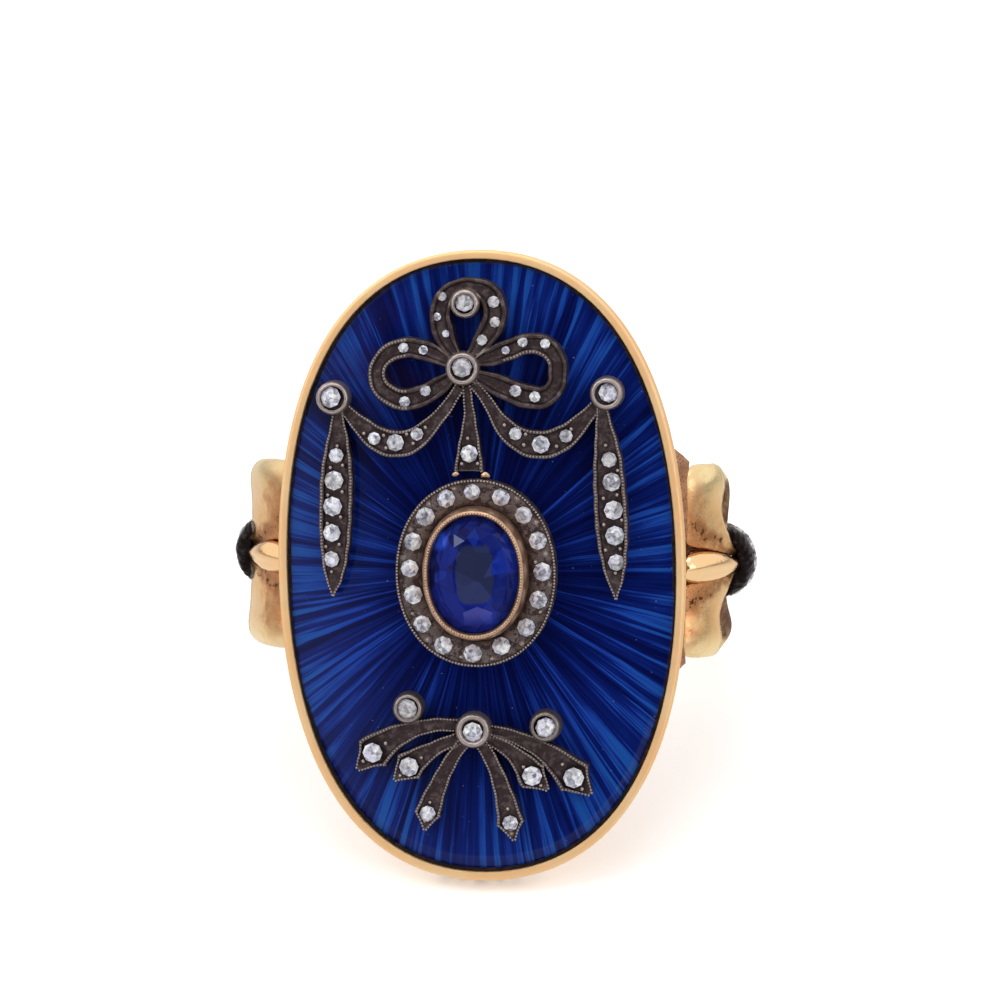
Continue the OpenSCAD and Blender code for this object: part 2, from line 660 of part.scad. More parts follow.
// Sapphire: an oval mixed cut. Columns of a ring of corners: shares of the width and of the length,
// height over the girdle and turn in facets
module sapphire() {
    rings = [[0.02, 0.02, -1.45, 0], [0.34, 0.34, -1.2, 0], [0.68, 0.68, -0.8, 0],
             [0.98, 0.98, -0.08, 0], [0.98, 0.98, 0.04, 0], [0.74, 0.82, 0.34, 0.5],
             [0.44, 0.63, 0.5, 0]];
    count = gem_facets;
    last = len(rings) - 1;
    points = [for (r = rings) for (i = [0:count - 1]) let (t = 360 * (i + r[3]) / count)
        [gem_w / 2 * r[0] * cos(t), gem_l / 2 * r[1] * sin(t), r[2]]];
    color([0.05, 0.08, 0.5]) on_plate() translate([halo_x, halo_y, gem_girdle_z - 0.1])
        polyhedron(points, concat(
            [[for (i = [0:count - 1]) i]],
            [for (k = [0:last - 1]) for (i = [0:count - 1]) let (j = (i + 1) % count)
                for (t = [[k * count + i, (k + 1) * count + i, (k + 1) * count + j],
                          [k * count + i, (k + 1) * count + j, k * count + j]]) t],
            [[for (i = [count - 1:-1:0]) last * count + i]]));
}

// Single-cut diamond with its girdle at zero: a table, eight crown facets and eight below
module single_cut(d) {
    r = d / 2;
    table_r = 0.55 * r;
    top_z = 0.16 * d;
    low_z = -0.4 * d;
    polyhedron(
        concat([for (i = [0:7]) [table_r * cos(45 * i), table_r * sin(45 * i), top_z]],
               [for (i = [0:7]) [r * cos(45 * i), r * sin(45 * i), 0]],
               [[0, 0, low_z]]),
        concat([[7, 6, 5, 4, 3, 2, 1, 0]],
               [for (i = [0:7]) let (j = (i + 1) % 8) [i, j, 8 + j, 8 + i]],
               [for (i = [0:7]) [16, 8 + i, 8 + (i + 1) % 8]]));
}

module set_stone(x, y, d, girdle) {
    color([0.9, 0.92, 0.95]) on_plate() on_dome(x, y) translate([0, 0, girdle]) single_cut(d);
}

module set_stones(rows) {
    for (s = rows) set_stone(s[DX], s[DY], s[DD], ribbon_girdle);
}

module collet_stone(row) {
    set_stone(row[CX], row[CY], row[CS], collet_girdle);
}

module arm_stone(arm) {
    set_stone(arm[ARM_HEAD][0], arm[ARM_HEAD][1], arm[ARM_STONE], ribbon_girdle);
}

module halo_stone(s) {
    color([0.9, 0.92, 0.95]) on_plate()
        translate([s[DX], s[DY], halo_base_z + halo_girdle]) single_cut(s[DD]);
}

module knot_stones() {
    color([0.88, 0.9, 0.96]) at_knot_stones() single_cut(knot_stone_d);
}

mount();
enamel_plate();
bow_garland();
halo_frame();
sapphire_collet();
sapphire();
spray();
laid() mirror([1, 0, 0]) knot_silver();  // left_knot
laid() knot_silver();  // right_knot
for (row = COLLET_STONES)
    collet_stone(row);
for (i = [1:16])
    halo_stone(HALO_STONES[i - 1]);
for (i = [1:5])
    set_stones([LEFT_DROP_STONES[i - 1]]);
for (i = [1:5])
    set_stones([RIGHT_DROP_STONES[i - 1]]);
for (i = [1:6])
    arm_stone(ARMS[i - 1]);
set_stones(BOW_STONES);  // bow_diamonds
set_stones(SWAG_STONES);  // swag_diamonds
laid() mirror([1, 0, 0]) knot_stones();  // left_knot_diamonds
laid() knot_stones();  // right_knot_diamonds
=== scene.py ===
import math

import bpy
import bmesh
from mathutils import Matrix, Vector


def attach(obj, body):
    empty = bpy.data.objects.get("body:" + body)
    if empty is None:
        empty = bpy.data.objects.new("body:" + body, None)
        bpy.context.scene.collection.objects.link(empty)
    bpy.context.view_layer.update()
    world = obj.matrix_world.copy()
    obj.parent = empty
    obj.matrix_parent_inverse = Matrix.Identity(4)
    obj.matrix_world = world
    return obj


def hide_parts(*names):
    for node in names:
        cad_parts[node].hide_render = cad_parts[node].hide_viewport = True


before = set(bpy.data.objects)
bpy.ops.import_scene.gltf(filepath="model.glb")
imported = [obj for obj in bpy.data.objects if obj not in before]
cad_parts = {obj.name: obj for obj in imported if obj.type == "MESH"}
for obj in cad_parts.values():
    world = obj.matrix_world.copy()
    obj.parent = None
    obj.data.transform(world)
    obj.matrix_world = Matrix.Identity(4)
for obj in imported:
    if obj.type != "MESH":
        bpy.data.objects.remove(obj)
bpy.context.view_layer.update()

bl_info = {
    "name": "Sapphire and diamond ring",
    "version": (1, 0, 0),
    "blender": (4, 5, 0),
    "location": "3D View > Sidebar > Ring",
    "description": "Dresses an enamelled gold ring with its silver bow, halo and spray",
    "category": "Object",
}

# The ring is modelled in millimetres on its own axes, X across the finger, Y along the finger and Z out
# through the plate, and is then laid down as it lies on a table.

# Squareness of the ovals of the plate and the halo, where 2 is an ellipse, and the steps of an oval's quarter
PLATE_POWER = 2.28
HALO_POWER = 2.1
OVAL_STEPS = 32

# The plate's turn on the hoop in degrees, the halo's centre on the plate, and the enamel's place: the gap
# round it, the depth of its edge under the rim and the height of its underside
PLATE_TURN = 2.2
HALO_PLACE = (-0.12, -0.22)
ENAMEL_GAP = 0.11
ENAMEL_SINK = 0.35
ENAMEL_FOOT = 11.65

# Hoop: the finger hole's radius, half the width, the centre and the radius of the crown's arc, and how far
# the outside is raised
FINGER_RADIUS = 9.0
HOOP_HALF = 1.6
CROWN_CENTRE = 9.5
CROWN_RADIUS = 2.0
HOOP_RISE = 0.6

# Ribbons of the bow as stations on the plate: across, along and full width
TOP_LOOP = [(-0.92, 10.0, 0.6), (-1.42, 10.95, 0.98), (-1.62, 12.0, 1.02), (-1.38, 12.8, 0.95),
            (-0.78, 13.24, 0.85), (-0.1, 13.3, 0.85), (0.56, 13.04, 1.05), (0.93, 12.42, 1.15),
            (0.92, 11.7, 1.15), (0.5, 10.92, 1.05), (-0.17, 10.0, 0.6)]
LEFT_LOOP = [(-1.1, 9.75, 0.6), (-1.8, 10.1, 0.9), (-2.6, 10.38, 0.95), (-3.45, 10.45, 0.98),
             (-4.2, 10.15, 0.9), (-4.66, 9.45, 0.85), (-4.6, 8.78, 0.9), (-4.12, 8.26, 1.0),
             (-3.4, 8.02, 1.05), (-2.5, 8.22, 1.02), (-1.7, 8.65, 0.9), (-1.1, 9.1, 0.6)]
RIGHT_LOOP = [(-0.1, 9.8, 0.6), (0.8, 10.0, 0.95), (1.6, 10.28, 1.02), (2.5, 10.55, 1.0), (3.27, 10.43, 1.0),
              (3.78, 9.9, 0.95), (3.9, 9.2, 0.9), (3.78, 8.54, 0.9), (3.27, 8.06, 1.05), (2.5, 8.05, 1.12),
              (1.6, 8.37, 1.1), (0.7, 8.8, 0.95), (-0.1, 9.1, 0.6)]
LEFT_SWAG = [(-0.75, 8.55, 0.5), (-1.45, 7.55, 0.6), (-2.15, 6.8, 0.8), (-3.0, 6.12, 1.15),
             (-3.85, 5.93, 1.28), (-4.75, 6.22, 1.2), (-5.5, 6.85, 0.85), (-6.3, 7.65, 0.55)]
RIGHT_SWAG = [(-0.1, 8.75, 0.45), (0.65, 7.75, 0.55), (1.15, 6.9, 0.8), (1.95, 6.12, 1.15),
              (3.05, 5.78, 1.35), (4.15, 6.12, 1.2), (4.95, 6.8, 0.85), (5.75, 7.65, 0.55)]
CENTRE_RIBBON = [(-0.42, 8.6, 0.4), (-0.3, 7.2, 0.55), (-0.33, 6.1, 0.95), (-0.36, 5.3, 1.22),
                 (-0.38, 4.6, 1.42)]
LEFT_DROP = [(-6.6, 7.6, 0.45), (-6.6, 6.5, 0.9), (-6.66, 5.4, 1.35), (-6.72, 4.3, 1.6), (-6.77, 3.2, 1.62),
             (-6.82, 2.1, 1.58), (-6.86, 1.0, 1.4), (-6.91, 0.0, 1.08), (-6.95, -0.7, 0.6),
             (-6.98, -1.2, 0.08)]
RIGHT_DROP = [(5.95, 7.6, 0.45), (6.05, 6.5, 0.85), (6.18, 5.2, 1.3), (6.22, 4.1, 1.48), (6.27, 3.0, 1.56),
              (6.31, 1.9, 1.56), (6.36, 0.8, 1.38), (6.41, -0.2, 1.05), (6.44, -0.9, 0.62),
              (6.46, -1.55, 0.08)]

# Spray arms: start, the bend's pull, the head's centre, its heading in degrees, its size and its layer
ARMS = [((-1.05, -7.5), (-3.3, -7.15), (-5.22, -8.7), 226, 1.0, 2),
        ((-1.0, -8.05), (-2.5, -8.5), (-3.52, -9.38), 222, 0.86, 1),
        ((-0.85, -8.25), (-1.85, -9.3), (-2.7, -11.62), 258, 0.72, 0),
        ((-0.1, -8.3), (0.8, -9.6), (1.2, -12.12), 280, 0.74, 0),
        ((0.15, -8.1), (1.5, -8.6), (2.28, -9.88), 316, 0.88, 1),
        ((0.25, -7.75), (2.6, -8.1), (4.22, -10.0), 313, 1.02, 2)]

# Round collets: across, along, outside diameter and stone's diameter
BOW_COLLETS = [(-0.42, 12.52, 1.4, 0.98), (-0.58, 9.45, 1.62, 0.98), (-6.8, 8.15, 1.6, 1.05),
               (6.2, 8.15, 1.58, 0.95)]
SPRAY_COLLETS = [(-0.43, -7.7, 1.68, 0.95), (-3.5, -6.6, 1.46, 1.05), (3.0, -7.55, 1.5, 1.02)]

# Small grains of silver beside the stones, and the solder where the bow's foot meets the halo
GARLAND_GRAINS = [(-5.35, 6.45), (-4.4, 6.35), (-4.3, 5.75), (-3.3, 6.4), (-3.0, 5.95), (-2.4, 6.7),
                  (1.35, 6.75), (2.35, 6.3), (2.25, 5.8), (3.8, 5.7), (4.5, 6.5), (-0.4, 6.15),
                  (-0.7, 4.95), (0.05, 4.95), (-6.65, 5.87), (-7.0, 4.85), (-6.4, 4.95), (-7.15, 3.55),
                  (-6.45, 3.7), (-7.2, 2.2), (-6.55, 2.5), (-7.3, 1.1), (-6.65, 1.2), (-7.05, -0.1),
                  (6.1, 5.7), (6.65, 4.5), (6.6, 3.35), (5.95, 3.2), (6.8, 2.15), (5.95, 1.95), (6.7, 0.8),
                  (6.0, 0.75), (6.45, -0.35)]
SPRAY_GRAINS = [(-4.65, -8.3), (-5.75, -9.15), (-2.95, -9.0), (-4.0, -9.85), (-2.6, -11.15), (-2.9, -12.05),
                (1.1, -11.5), (1.25, -12.7), (1.9, -9.5), (2.7, -10.4), (3.75, -9.4), (4.65, -10.6)]
HALO_GRAINS = [(-1.1, 3.8), (-2.3, 3.1), (-3.2, 1.9), (-3.55, 0.55), (-3.55, -0.8), (-3.2, -2.1),
               (-2.5, -3.35), (-0.9, -4.2), (0.55, -4.3), (2.0, -3.6), (2.9, -2.1), (3.4, -0.8),
               (2.7, 0.25), (3.2, 0.65), (2.8, 2.15), (1.9, 3.3)]
SOLDER = [(-1.0, 4.47, 0.12), (0.42, 4.4, 0.16)]

# Half sections of a ribbon: across, as a share of its half width, and height, with the columns of its edges
BEADED_RIBBON = ([(-1, -0.16), (-0.96, -0.03), (-0.86, 0), (-0.75, -0.03), (-0.66, -0.26), (-0.3, -0.32)],
                 (2, 9))
ROUNDED_RIBBON = ([(-1, -0.42), (-0.98, -0.16), (-0.89, 0), (-0.75, 0.04), (-0.61, -0.02), (-0.5, -0.22),
                   (-0.42, -0.36)], (3, 10))

# A loop on the upper right shoulder, at these shares of the way from its end to the knot: how far along the
# finger its near and far edges lie, and how far across. The far edge differs by side and on the rear sheet
LOOP_SHARES = (0, 0.02, 0.07, 0.2, 0.35, 0.5, 0.65, 0.8, 0.9, 1)
LOOP_ALONG_NEAR = (4.65, 4.58, 4.36, 3.75, 3.05, 2.33, 1.55, 0.95, 0.68, 0.25)
LOOP_ALONG_FAR = (4.65, 4.57, 4.26, 3.7, 3.15, 2.55, 1.95, 1.28, 0.68, 0.3)
LOOP_NEAR = (9.95, 9.65, 9.48, 9.42, 9.4, 9.4, 9.44, 9.62, 10.45, 11.75)
LOOP_FAR = {1: (10.55, 10.85, 11.1, 11.22, 11.14, 11.09, 11.2, 11.45, 11.69, 11.92),
            -1: (10.85, 11.36, 11.78, 11.94, 11.92, 11.87, 11.83, 11.79, 11.8, 11.92)}
LOOP_BEHIND = (10.55, 10.7, 10.88, 11.02, 11.08, 11.1, 11.1, 11.1, 11.2, 11.5)

# The loops' thickness, the radius of their middle round the finger, half their depth, and how much longer or
# shorter they are than drawn, by side and end
SHEET = 0.25
LOOP_RADIUS = 12.55
LOOP_HALF = 0.76
LOOP_STRETCH = {(1, 1): 1.035, (1, -1): 0.975, (-1, 1): 0.98, (-1, -1): 0.98}

# Leaves: their length, half width and lean, the place of their top and the rows of their outline
LEAF_LENGTH = 4.3
LEAF_HALF = 0.76
LEAF_LEAN = 143
LEAF_PLACE = (9.3, -0.1, 9.45)
LEAF_ROWS = (0.01, 0.03, 0.07, 0.13, 0.22, 0.34, 0.47, 0.6, 0.72, 0.83, 0.9, 0.95, 0.98, 0.993)

# Necks and knots: their lean in degrees and their places, and the turn of each of a knot's stones round it
KNOT_LEAN = -3
NECK_PLACE = (10.1, 0, 4.6)
KNOT_PLACE = (10.85, 0, 4.6)
KNOT_STONES = (-56, -28, 0, 28, 56)

# The gallery's height, half width and half length
GALLERY = [(5.7, 8.4, 3.9), (7.0, 9.6, 4.4), (8.0, 10.2, 5.1), (9.2, 10.0, 5.75), (10.0, 9.7, 6.1),
           (11.2, 9.2, 6.4)]

# Half widths and half lengths of the halo's and the sapphire collet's outsides
HALO_HALF = (3.82, 4.46)
BEZEL_HALF = (2.56, 3.22)

# Stage: the point on the plate that the camera looks at, the ring's middle in metres, the way to the tent's
# opening behind the camera, and the soft lights' names, places, sizes and powers
AIM = (1.0, 3.16, 12.75)
RING_MIDDLE = (0, 0, 0.012)
OPENING = (0.05, -0.84, 0.54)
LIGHTS = (("left_soft_light", (-0.35, -0.1, 0.45), 0.3, 0.6),
          ("right_soft_light", (0.4, -0.25, 0.3), 0.3, 0.3), ("top_soft_light", (0.0, 0.2, 0.6), 0.4, 0.8))
SENSOR = 36


def length(name, description, default):
    return bpy.props.FloatProperty(name=name, description=description, default=default, unit="LENGTH")


def angle(name, description, degrees):
    return bpy.props.FloatProperty(name=name, description=description, default=math.radians(degrees),
                                   subtype="ANGLE")


def colour(name, description, default):
    return bpy.props.FloatVectorProperty(name=name, description=description, default=default, subtype="COLOR",
                                         min=0, max=1)


class RingSizes(bpy.types.PropertyGroup):
    """Sizes of the ring's visible pieces"""
    plate_width: length("Plate width", "Width of the oval plate over its rim", 0.01935)
    plate_length: length("Plate length", "Length of the oval plate over its rim", 0.030)
    rim_width: length("Rim width", "Width of the rim's gold face", 0.0004)
    rim_height: length("Rim height", "Height of the rim's top over the finger's centre", 0.0125)
    enamel_crown: length("Enamel crown", "Height of the enamel's crown over its edge", 0.00075)
    ribbon_height: length("Ribbon height", "Height of the silver ribbons over the enamel", 0.0009)
    collet_height: length("Collet height", "Height of the round collets over the enamel", 0.0013)
    halo_height: length("Halo height", "Height of the silver halo over the enamel", 0.001)
    bezel_height: length("Bezel height", "Height of the sapphire's gold collet over the enamel", 0.0023)
    milgrain_pitch: length("Milgrain pitch", "Distance from bead to bead along an edge", 0.000155)


class RingColours(bpy.types.PropertyGroup):
    """Colours of the ring's finishes"""
    gold: colour("Gold", "Polished gold", (0.86, 0.60, 0.33))
    tarnish: colour("Tarnish", "Brown tarnish in the gold's creases", (0.13, 0.05, 0.02))
    enamel_deep: colour("Deep enamel", "Enamel over the furrows", (0.001, 0.003, 0.045))
    enamel_ray: colour("Enamel ray", "Enamel over the bright rays", (0.009, 0.04, 0.29))
    silver: colour("Silver", "Oxidised silver", (0.08, 0.056, 0.057))
    # Pale silver for worn edges, which also paints the sheen along them.
    worn_silver: colour("Worn silver", "Paler silver on worn edges", (0.45, 0.375, 0.35))
    sapphire: colour("Sapphire", "Blue of the sapphire", (0.005, 0.015, 0.2))
    diamond: colour("Diamond", "White of the diamonds", (0.9, 0.91, 0.93))


class RingStage(bpy.types.PropertyGroup):
    """Camera, floor and light"""
    distance: length("Distance", "Distance of the camera from the plate", 0.325)
    lean_right: angle("Lean right", "Camera's lean from the plate's normal, to the right", 5)
    lean_up: angle("Lean up", "Camera's lean from the plate's normal, to the top", 3.75)
    roll: angle("Roll", "Turn of the hoop in the picture", 1)
    view_width: length("View width", "Width that the picture shows at the plate", 0.04738)
    light: bpy.props.FloatProperty(
        name="Light", description="Strength of the white surroundings", default=1.0, min=0)


def mm(size):
    """One of the ring's sizes, in millimetres."""
    return getattr(bpy.context.scene.ring_sizes, size) * 1000


def colours(name, *shares):
    """One of the ring's colours, with its red, green and blue multiplied by the shares."""
    parts = getattr(bpy.context.scene.ring_colours, name)
    return tuple(part * share for part, share in zip(parts, shares or (1, 1, 1)))


# Rest pose: the foot of the plate and the lower edge of the hoop, as height and place along the finger, touch
# the table together, and the rim's top is the ring's front
HOOP_EDGE = (-10.1, -HOOP_HALF)
PLATE_FOOT = (11.1, -15.0)
RIM_TOP = 12.5
LAY_TURN = math.atan2(PLATE_FOOT[0] - HOOP_EDGE[0], HOOP_EDGE[1] - PLATE_FOOT[1])
LAY_LIFT = -PLATE_FOOT[1] * math.sin(LAY_TURN) - PLATE_FOOT[0] * math.cos(LAY_TURN)
LAY_FRONT = -PLATE_FOOT[1] * math.cos(LAY_TURN) + RIM_TOP * math.sin(LAY_TURN)
LAY_BACK = (CROWN_CENTRE - HOOP_RISE) * math.sin(LAY_TURN) + CROWN_RADIUS


def laid(on_plate):
    """Where the ring's axes, or the plate's, come to lie on the table, from millimetres to metres."""
    turn = Matrix.Rotation(math.radians(PLATE_TURN) if on_plate else 0, 4, "Z")
    place = Matrix.Translation((0, (LAY_FRONT - LAY_BACK) / 2, LAY_LIFT))
    return Matrix.Scale(0.001, 4) @ place @ Matrix.Rotation(LAY_TURN, 4, "X") @ turn


def plate_half(inwards):
    """Half the width and half the length of an oval that lies this far inside the plate's edge."""
    return [mm(side) / 2 - inwards for side in ("plate_width", "plate_length")]


def enamel_half():
    return plate_half(mm("rim_width") + ENAMEL_GAP)


def dome(x, y):
    """Height of the enamel's surface over the finger's centre, in millimetres."""
    a, b = enamel_half()
    share = (abs(x / a) ** PLATE_POWER + abs(y / b) ** PLATE_POWER) ** (1 / PLATE_POWER)
    rounding = 0.1 * smooth(0.955, 1, share) * smooth(-6, -10, y) + 0.02 * smooth(0.99, 1, share)
    return mm("rim_height") - ENAMEL_SINK + mm("enamel_crown") * (1 - share ** 2) - rounding


def smooth(low, high, value):
    """0 at low, 1 at high and a smooth rise between them."""
    t = min(1, max(0, (value - low) / (high - low)))
    return t * t * (3 - 2 * t)


# Work at the bench: starting a piece, shaping it and finishing it

def start(add, **settings):
    """Adds a primitive with nothing else selected."""
    bpy.ops.object.select_all(action="DESELECT")
    add(**settings)
    return bpy.context.object


def choose(*pieces):
    """Selects these pieces alone and makes the first one active."""
    bpy.ops.object.select_all(action="DESELECT")
    for piece in pieces:
        piece.select_set(True)
    bpy.context.view_layer.objects.active = pieces[0]


def shape(piece, *steps, pick=None):
    """Runs the steps in edit mode on the whole piece, or on the vertices that pick finds."""
    choose(piece)
    bpy.ops.object.mode_set(mode="EDIT")
    bpy.ops.mesh.select_mode(type="VERT")
    bpy.ops.mesh.select_all(action="DESELECT" if pick else "SELECT")
    if pick:
        mesh = bmesh.from_edit_mesh(piece.data)
        for vertex in mesh.verts:
            vertex.select_set(pick(vertex))
        bmesh.update_edit_mesh(piece.data)
    for step in steps:
        step()
    bpy.ops.object.mode_set(mode="OBJECT")
    return piece


def modify(piece, kind, **settings):
    """Adds a modifier and applies it."""
    choose(piece)
    modifier = piece.modifiers.new(kind.title(), kind)
    for name, value in settings.items():
        setattr(modifier, name, value)
    bpy.ops.object.modifier_apply(modifier=modifier.name)


def applied(piece, **place):
    """Places, turns or scales a piece, and keeps that in its mesh."""
    choose(piece)
    for name, value in place.items():
        setattr(piece, name, value)
    bpy.ops.object.transform_apply(location=True, rotation=True, scale=True)
    return piece


def converted(piece, kind="MESH"):
    choose(piece)
    bpy.ops.object.convert(target=kind)
    return bpy.context.object


def sewn(piece, distance=0.0005):
    """Merges the piece's doubles and turns its faces outwards."""
    return shape(piece, lambda: bpy.ops.mesh.remove_doubles(threshold=distance),
                 lambda: bpy.ops.mesh.normals_make_consistent(inside=False))


def joined(pieces):
    choose(*pieces)
    bpy.ops.object.join()
    return bpy.context.object


def drawn(points, closed=False):
    """A line of edges through the points, extruded one after the other from a single vertex."""
    line = start(bpy.ops.mesh.primitive_plane_add, size=1)

    def draw():
        bpy.ops.mesh.merge(type="CENTER")
        bpy.ops.transform.translate(value=points[0])
        for a, b in zip(points, points[1:]):
            bpy.ops.mesh.extrude_vertices_move(TRANSFORM_OT_translate={"value": Vector(b) - Vector(a)})
    shape(line, draw)
    if closed:
        shape(line, lambda: bpy.ops.mesh.edge_face_add(), pick=lambda v: v.index in (0, len(points) - 1))
    return line


def oval(half_width, half_length, power):
    """An oval curve, drawn as a circle whose handles are lengthened until its sides grow square."""
    curve = start(bpy.ops.curve.primitive_bezier_circle_add, radius=1)
    curve.data.resolution_u = OVAL_STEPS
    reach = (8 * 2 ** (-1 / power) - 4) / 3
    for point in curve.data.splines[0].bezier_points:
        point.handle_left_type = point.handle_right_type = "FREE"
        for side in ("handle_left", "handle_right"):
            setattr(point, side, point.co + (getattr(point, side) - point.co).normalized() * reach)
    for point in curve.data.splines[0].bezier_points:
        for side in ("co", "handle_left", "handle_right"):
            x, y, z = getattr(point, side)
            setattr(point, side, (x * half_width, y * half_length, z))
    return curve


def swept(curve, profile, closed=False):
    """Sweeps a profile along a curve: its first value runs to the curve's right, its second one upwards."""
    section = converted(drawn([(x, y, 0) for x, y in profile], closed), "CURVE")
    curve.data.bevel_mode = "OBJECT"
    curve.data.bevel_object = section
    piece = converted(curve)
    bpy.data.objects.remove(section)
    return piece


def turned(profile, steps):
    """Turns a profile of radius and height round the Z axis, as on a lathe."""
    line = drawn([(r, 0, z) for r, z in profile])
    shape(line, lambda: bpy.ops.mesh.spin(steps=steps, angle=2 * math.pi, center=(0, 0, 0), axis=(0, 0, 1)))
    return sewn(line)


def terraced(piece, steps):
    """Raises an oval's face in steps, each its width and length as shares of the oval's, and its height."""
    def raise_face():
        before = (1, 1, 0)
        bpy.ops.mesh.edge_face_add()
        for step in steps:
            bpy.ops.mesh.extrude_region_move(TRANSFORM_OT_translate={"value": (0, 0, step[2] - before[2])})
            bpy.ops.transform.resize(value=(step[0] / before[0], step[1] / before[1], 1),
                                     center_override=(0, 0, 0))
            before = step
    return sewn(shape(piece, raise_face))


def sleeve(rings, sides, place):
    """A sleeve of rings, drawn ring by ring from a circle and then laid where place says."""
    piece = start(bpy.ops.mesh.primitive_circle_add, vertices=sides, radius=1)

    def lengthen():
        for ring in range(rings - 1):
            bpy.ops.mesh.extrude_edges_move(TRANSFORM_OT_translate={"value": (0, 0, 1)})
    shape(piece, lengthen)
    for vertex in piece.data.vertices:
        turn = math.atan2(vertex.co.y, vertex.co.x)
        vertex.co = place(turn, vertex.co.z / (rings - 1))
    return sewn(piece, 0.0001)


def moved(piece, x, y, z):
    return shape(piece, lambda: bpy.ops.transform.translate(value=(x, y, z)))


def draped(piece, height):
    """Bends a flat piece over the enamel, this high above it."""
    for vertex in piece.data.vertices:
        vertex.co.z += dome(vertex.co.x, vertex.co.y) + height
    return piece


def finished(piece, name, material, replaced=None, on_plate=True, soft=60):
    """Smooths a piece's shading, lays it on the table with the ring and gives it its finish."""
    choose(piece)
    bpy.ops.object.shade_smooth_by_angle(angle=math.radians(soft), keep_sharp_edges=False)
    piece.name = piece.data.name = name
    applied(piece, matrix_world=laid(on_plate) @ piece.matrix_world)
    piece.data.materials.clear()
    piece.data.materials.append(material)
    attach(piece, "root")
    if replaced:
        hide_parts(replaced)


# Finishes

def arithmetic(operation, swapped=False):
    """The method of Value behind one of Python's operators."""
    def method(self, other):
        return self.maths(operation, *((other, self) if swapped else (self, other)))
    return method


class Value:
    """A number that varies over a surface and takes part in arithmetic."""

    def __init__(self, nodes, socket):
        self.nodes = nodes
        self.socket = socket

    def maths(self, operation, *values):
        return self.nodes.node("ShaderNodeMath", {"operation": operation}, dict(enumerate(values)))

    __add__ = __radd__ = arithmetic("ADD")
    __sub__ = arithmetic("SUBTRACT")
    __rsub__ = arithmetic("SUBTRACT", swapped=True)
    __mul__ = __rmul__ = arithmetic("MULTIPLY")
    __truediv__ = arithmetic("DIVIDE")
    __rtruediv__ = arithmetic("DIVIDE", swapped=True)
    __pow__ = arithmetic("POWER")
    __rpow__ = arithmetic("POWER", swapped=True)

    def __abs__(self):
        return self.maths("ABSOLUTE", self)

    def __floor__(self):
        return self.maths("FLOOR", self)

    def rise(self, low, high, first=0, last=1, kind="SMOOTHSTEP"):
        """The first value below low, the last one above high and a smooth rise between them."""
        return self.nodes.node("ShaderNodeMapRange", {"interpolation_type": kind}, {
            "Value": self, "From Min": low, "From Max": high, "To Min": first, "To Max": last})


class Nodes:
    """A tree of nodes, to which nodes are added with their settings and what feeds their sockets."""

    def __init__(self, tree):
        self.tree = tree

    def feed(self, value, socket):
        """Feeds a socket with a link or a value."""
        if isinstance(value, Value):
            self.tree.links.new(value.socket, socket)
        else:
            socket.default_value = value

    def node(self, kind, settings=None, sockets=None, out=0):
        made = self.tree.nodes.new(kind)
        for name, value in (settings or {}).items():
            setattr(made, name, value)
        for name, value in (sockets or {}).items():
            self.feed(value, made.inputs[name])
        return Value(self, made.outputs[out])


class Finish(Nodes):
    """A material of one piece, with a Principled shader that its values feed."""

    def __init__(self, name, on_plate=True, **constants):
        self.material = bpy.data.materials.new(name)
        self.material.use_nodes = True
        super().__init__(self.material.node_tree)
        self.shader = self.tree.nodes["Principled BSDF"]
        for socket, value in constants.items():
            self.shader.inputs[socket.replace("_", " ").title().replace("Ior", "IOR")].default_value = value
        turn = laid(on_plate)
        here = self.node("ShaderNodeTexCoord", out="Object")
        self.place = self.node("ShaderNodeMapping", {"vector_type": "TEXTURE"}, {
            "Vector": here, "Location": turn.translation, "Rotation": turn.to_euler(), "Scale": (0.001,) * 3})
        self.x = self.node("ShaderNodeSeparateXYZ", {}, {"Vector": self.place})
        self.y, self.z = [Value(self, self.x.socket.node.outputs[axis]) for axis in "YZ"]

    def noise(self, scale, detail=2, roughness=0.5, at=None, dimensions="3D"):
        return self.node("ShaderNodeTexNoise", {"noise_dimensions": dimensions}, {
            "Vector": at or self.place, "Scale": scale, "Detail": detail, "Roughness": roughness}, out="Fac")

    def streaks(self, across, along, detail):
        """Soft streaks, which change quickly across and slowly along."""
        at = self.node("ShaderNodeCombineXYZ", {}, {"X": across, "Y": along})
        return self.noise(1.0, detail, at=at, dimensions="2D")

    def facets(self, scale):
        """Flat patches, each with a tone of its own."""
        cells = self.node("ShaderNodeTexVoronoi", {"feature": "F1"}, {"Vector": self.place, "Scale": scale},
                          out="Color")
        return self.node("ShaderNodeRGBToBW", {}, {"Color": cells})

    def away(self, x, y):
        """How far the surface lies from a point of the plate."""
        across, along = self.x - x, self.y - y
        return (across * across + along * along) ** 0.5

    def heading(self, x, y):
        """The angle at which the surface lies about a point of the plate."""
        return self.x.maths("ARCTAN2", self.y - y, self.x - x)

    def blend(self, share, first, second):
        """Mixes two colours by a share."""
        made = self.node("ShaderNodeMix", {"data_type": "RGBA"}, {"Factor": share}, out=2)
        for number, colour in ((6, first), (7, second)):
            self.feed(colour if isinstance(colour, Value) else (*colour, 1), made.socket.node.inputs[number])
        return made

    def hollow(self, reach, inside=False):
        """How open the surface is: low in a hollow, or at an edge if it is measured from inside."""
        return self.node("ShaderNodeAmbientOcclusion", {"inside": inside, "samples": 8, "only_local": False},
                         {"Distance": reach}, out="AO")

    def made(self, colour, roughness=None, relief=None, strength=0.2, depth=0.0001):
        """Feeds the shader and gives the material back."""
        self.feed(colour, self.shader.inputs["Base Color"])
        if roughness:
            self.feed(roughness, self.shader.inputs["Roughness"])
        if relief:
            normal = self.node("ShaderNodeBump", {}, {
                "Height": relief, "Strength": strength, "Distance": depth}, out="Normal")
            self.feed(normal, self.shader.inputs["Normal"])
        return self.material


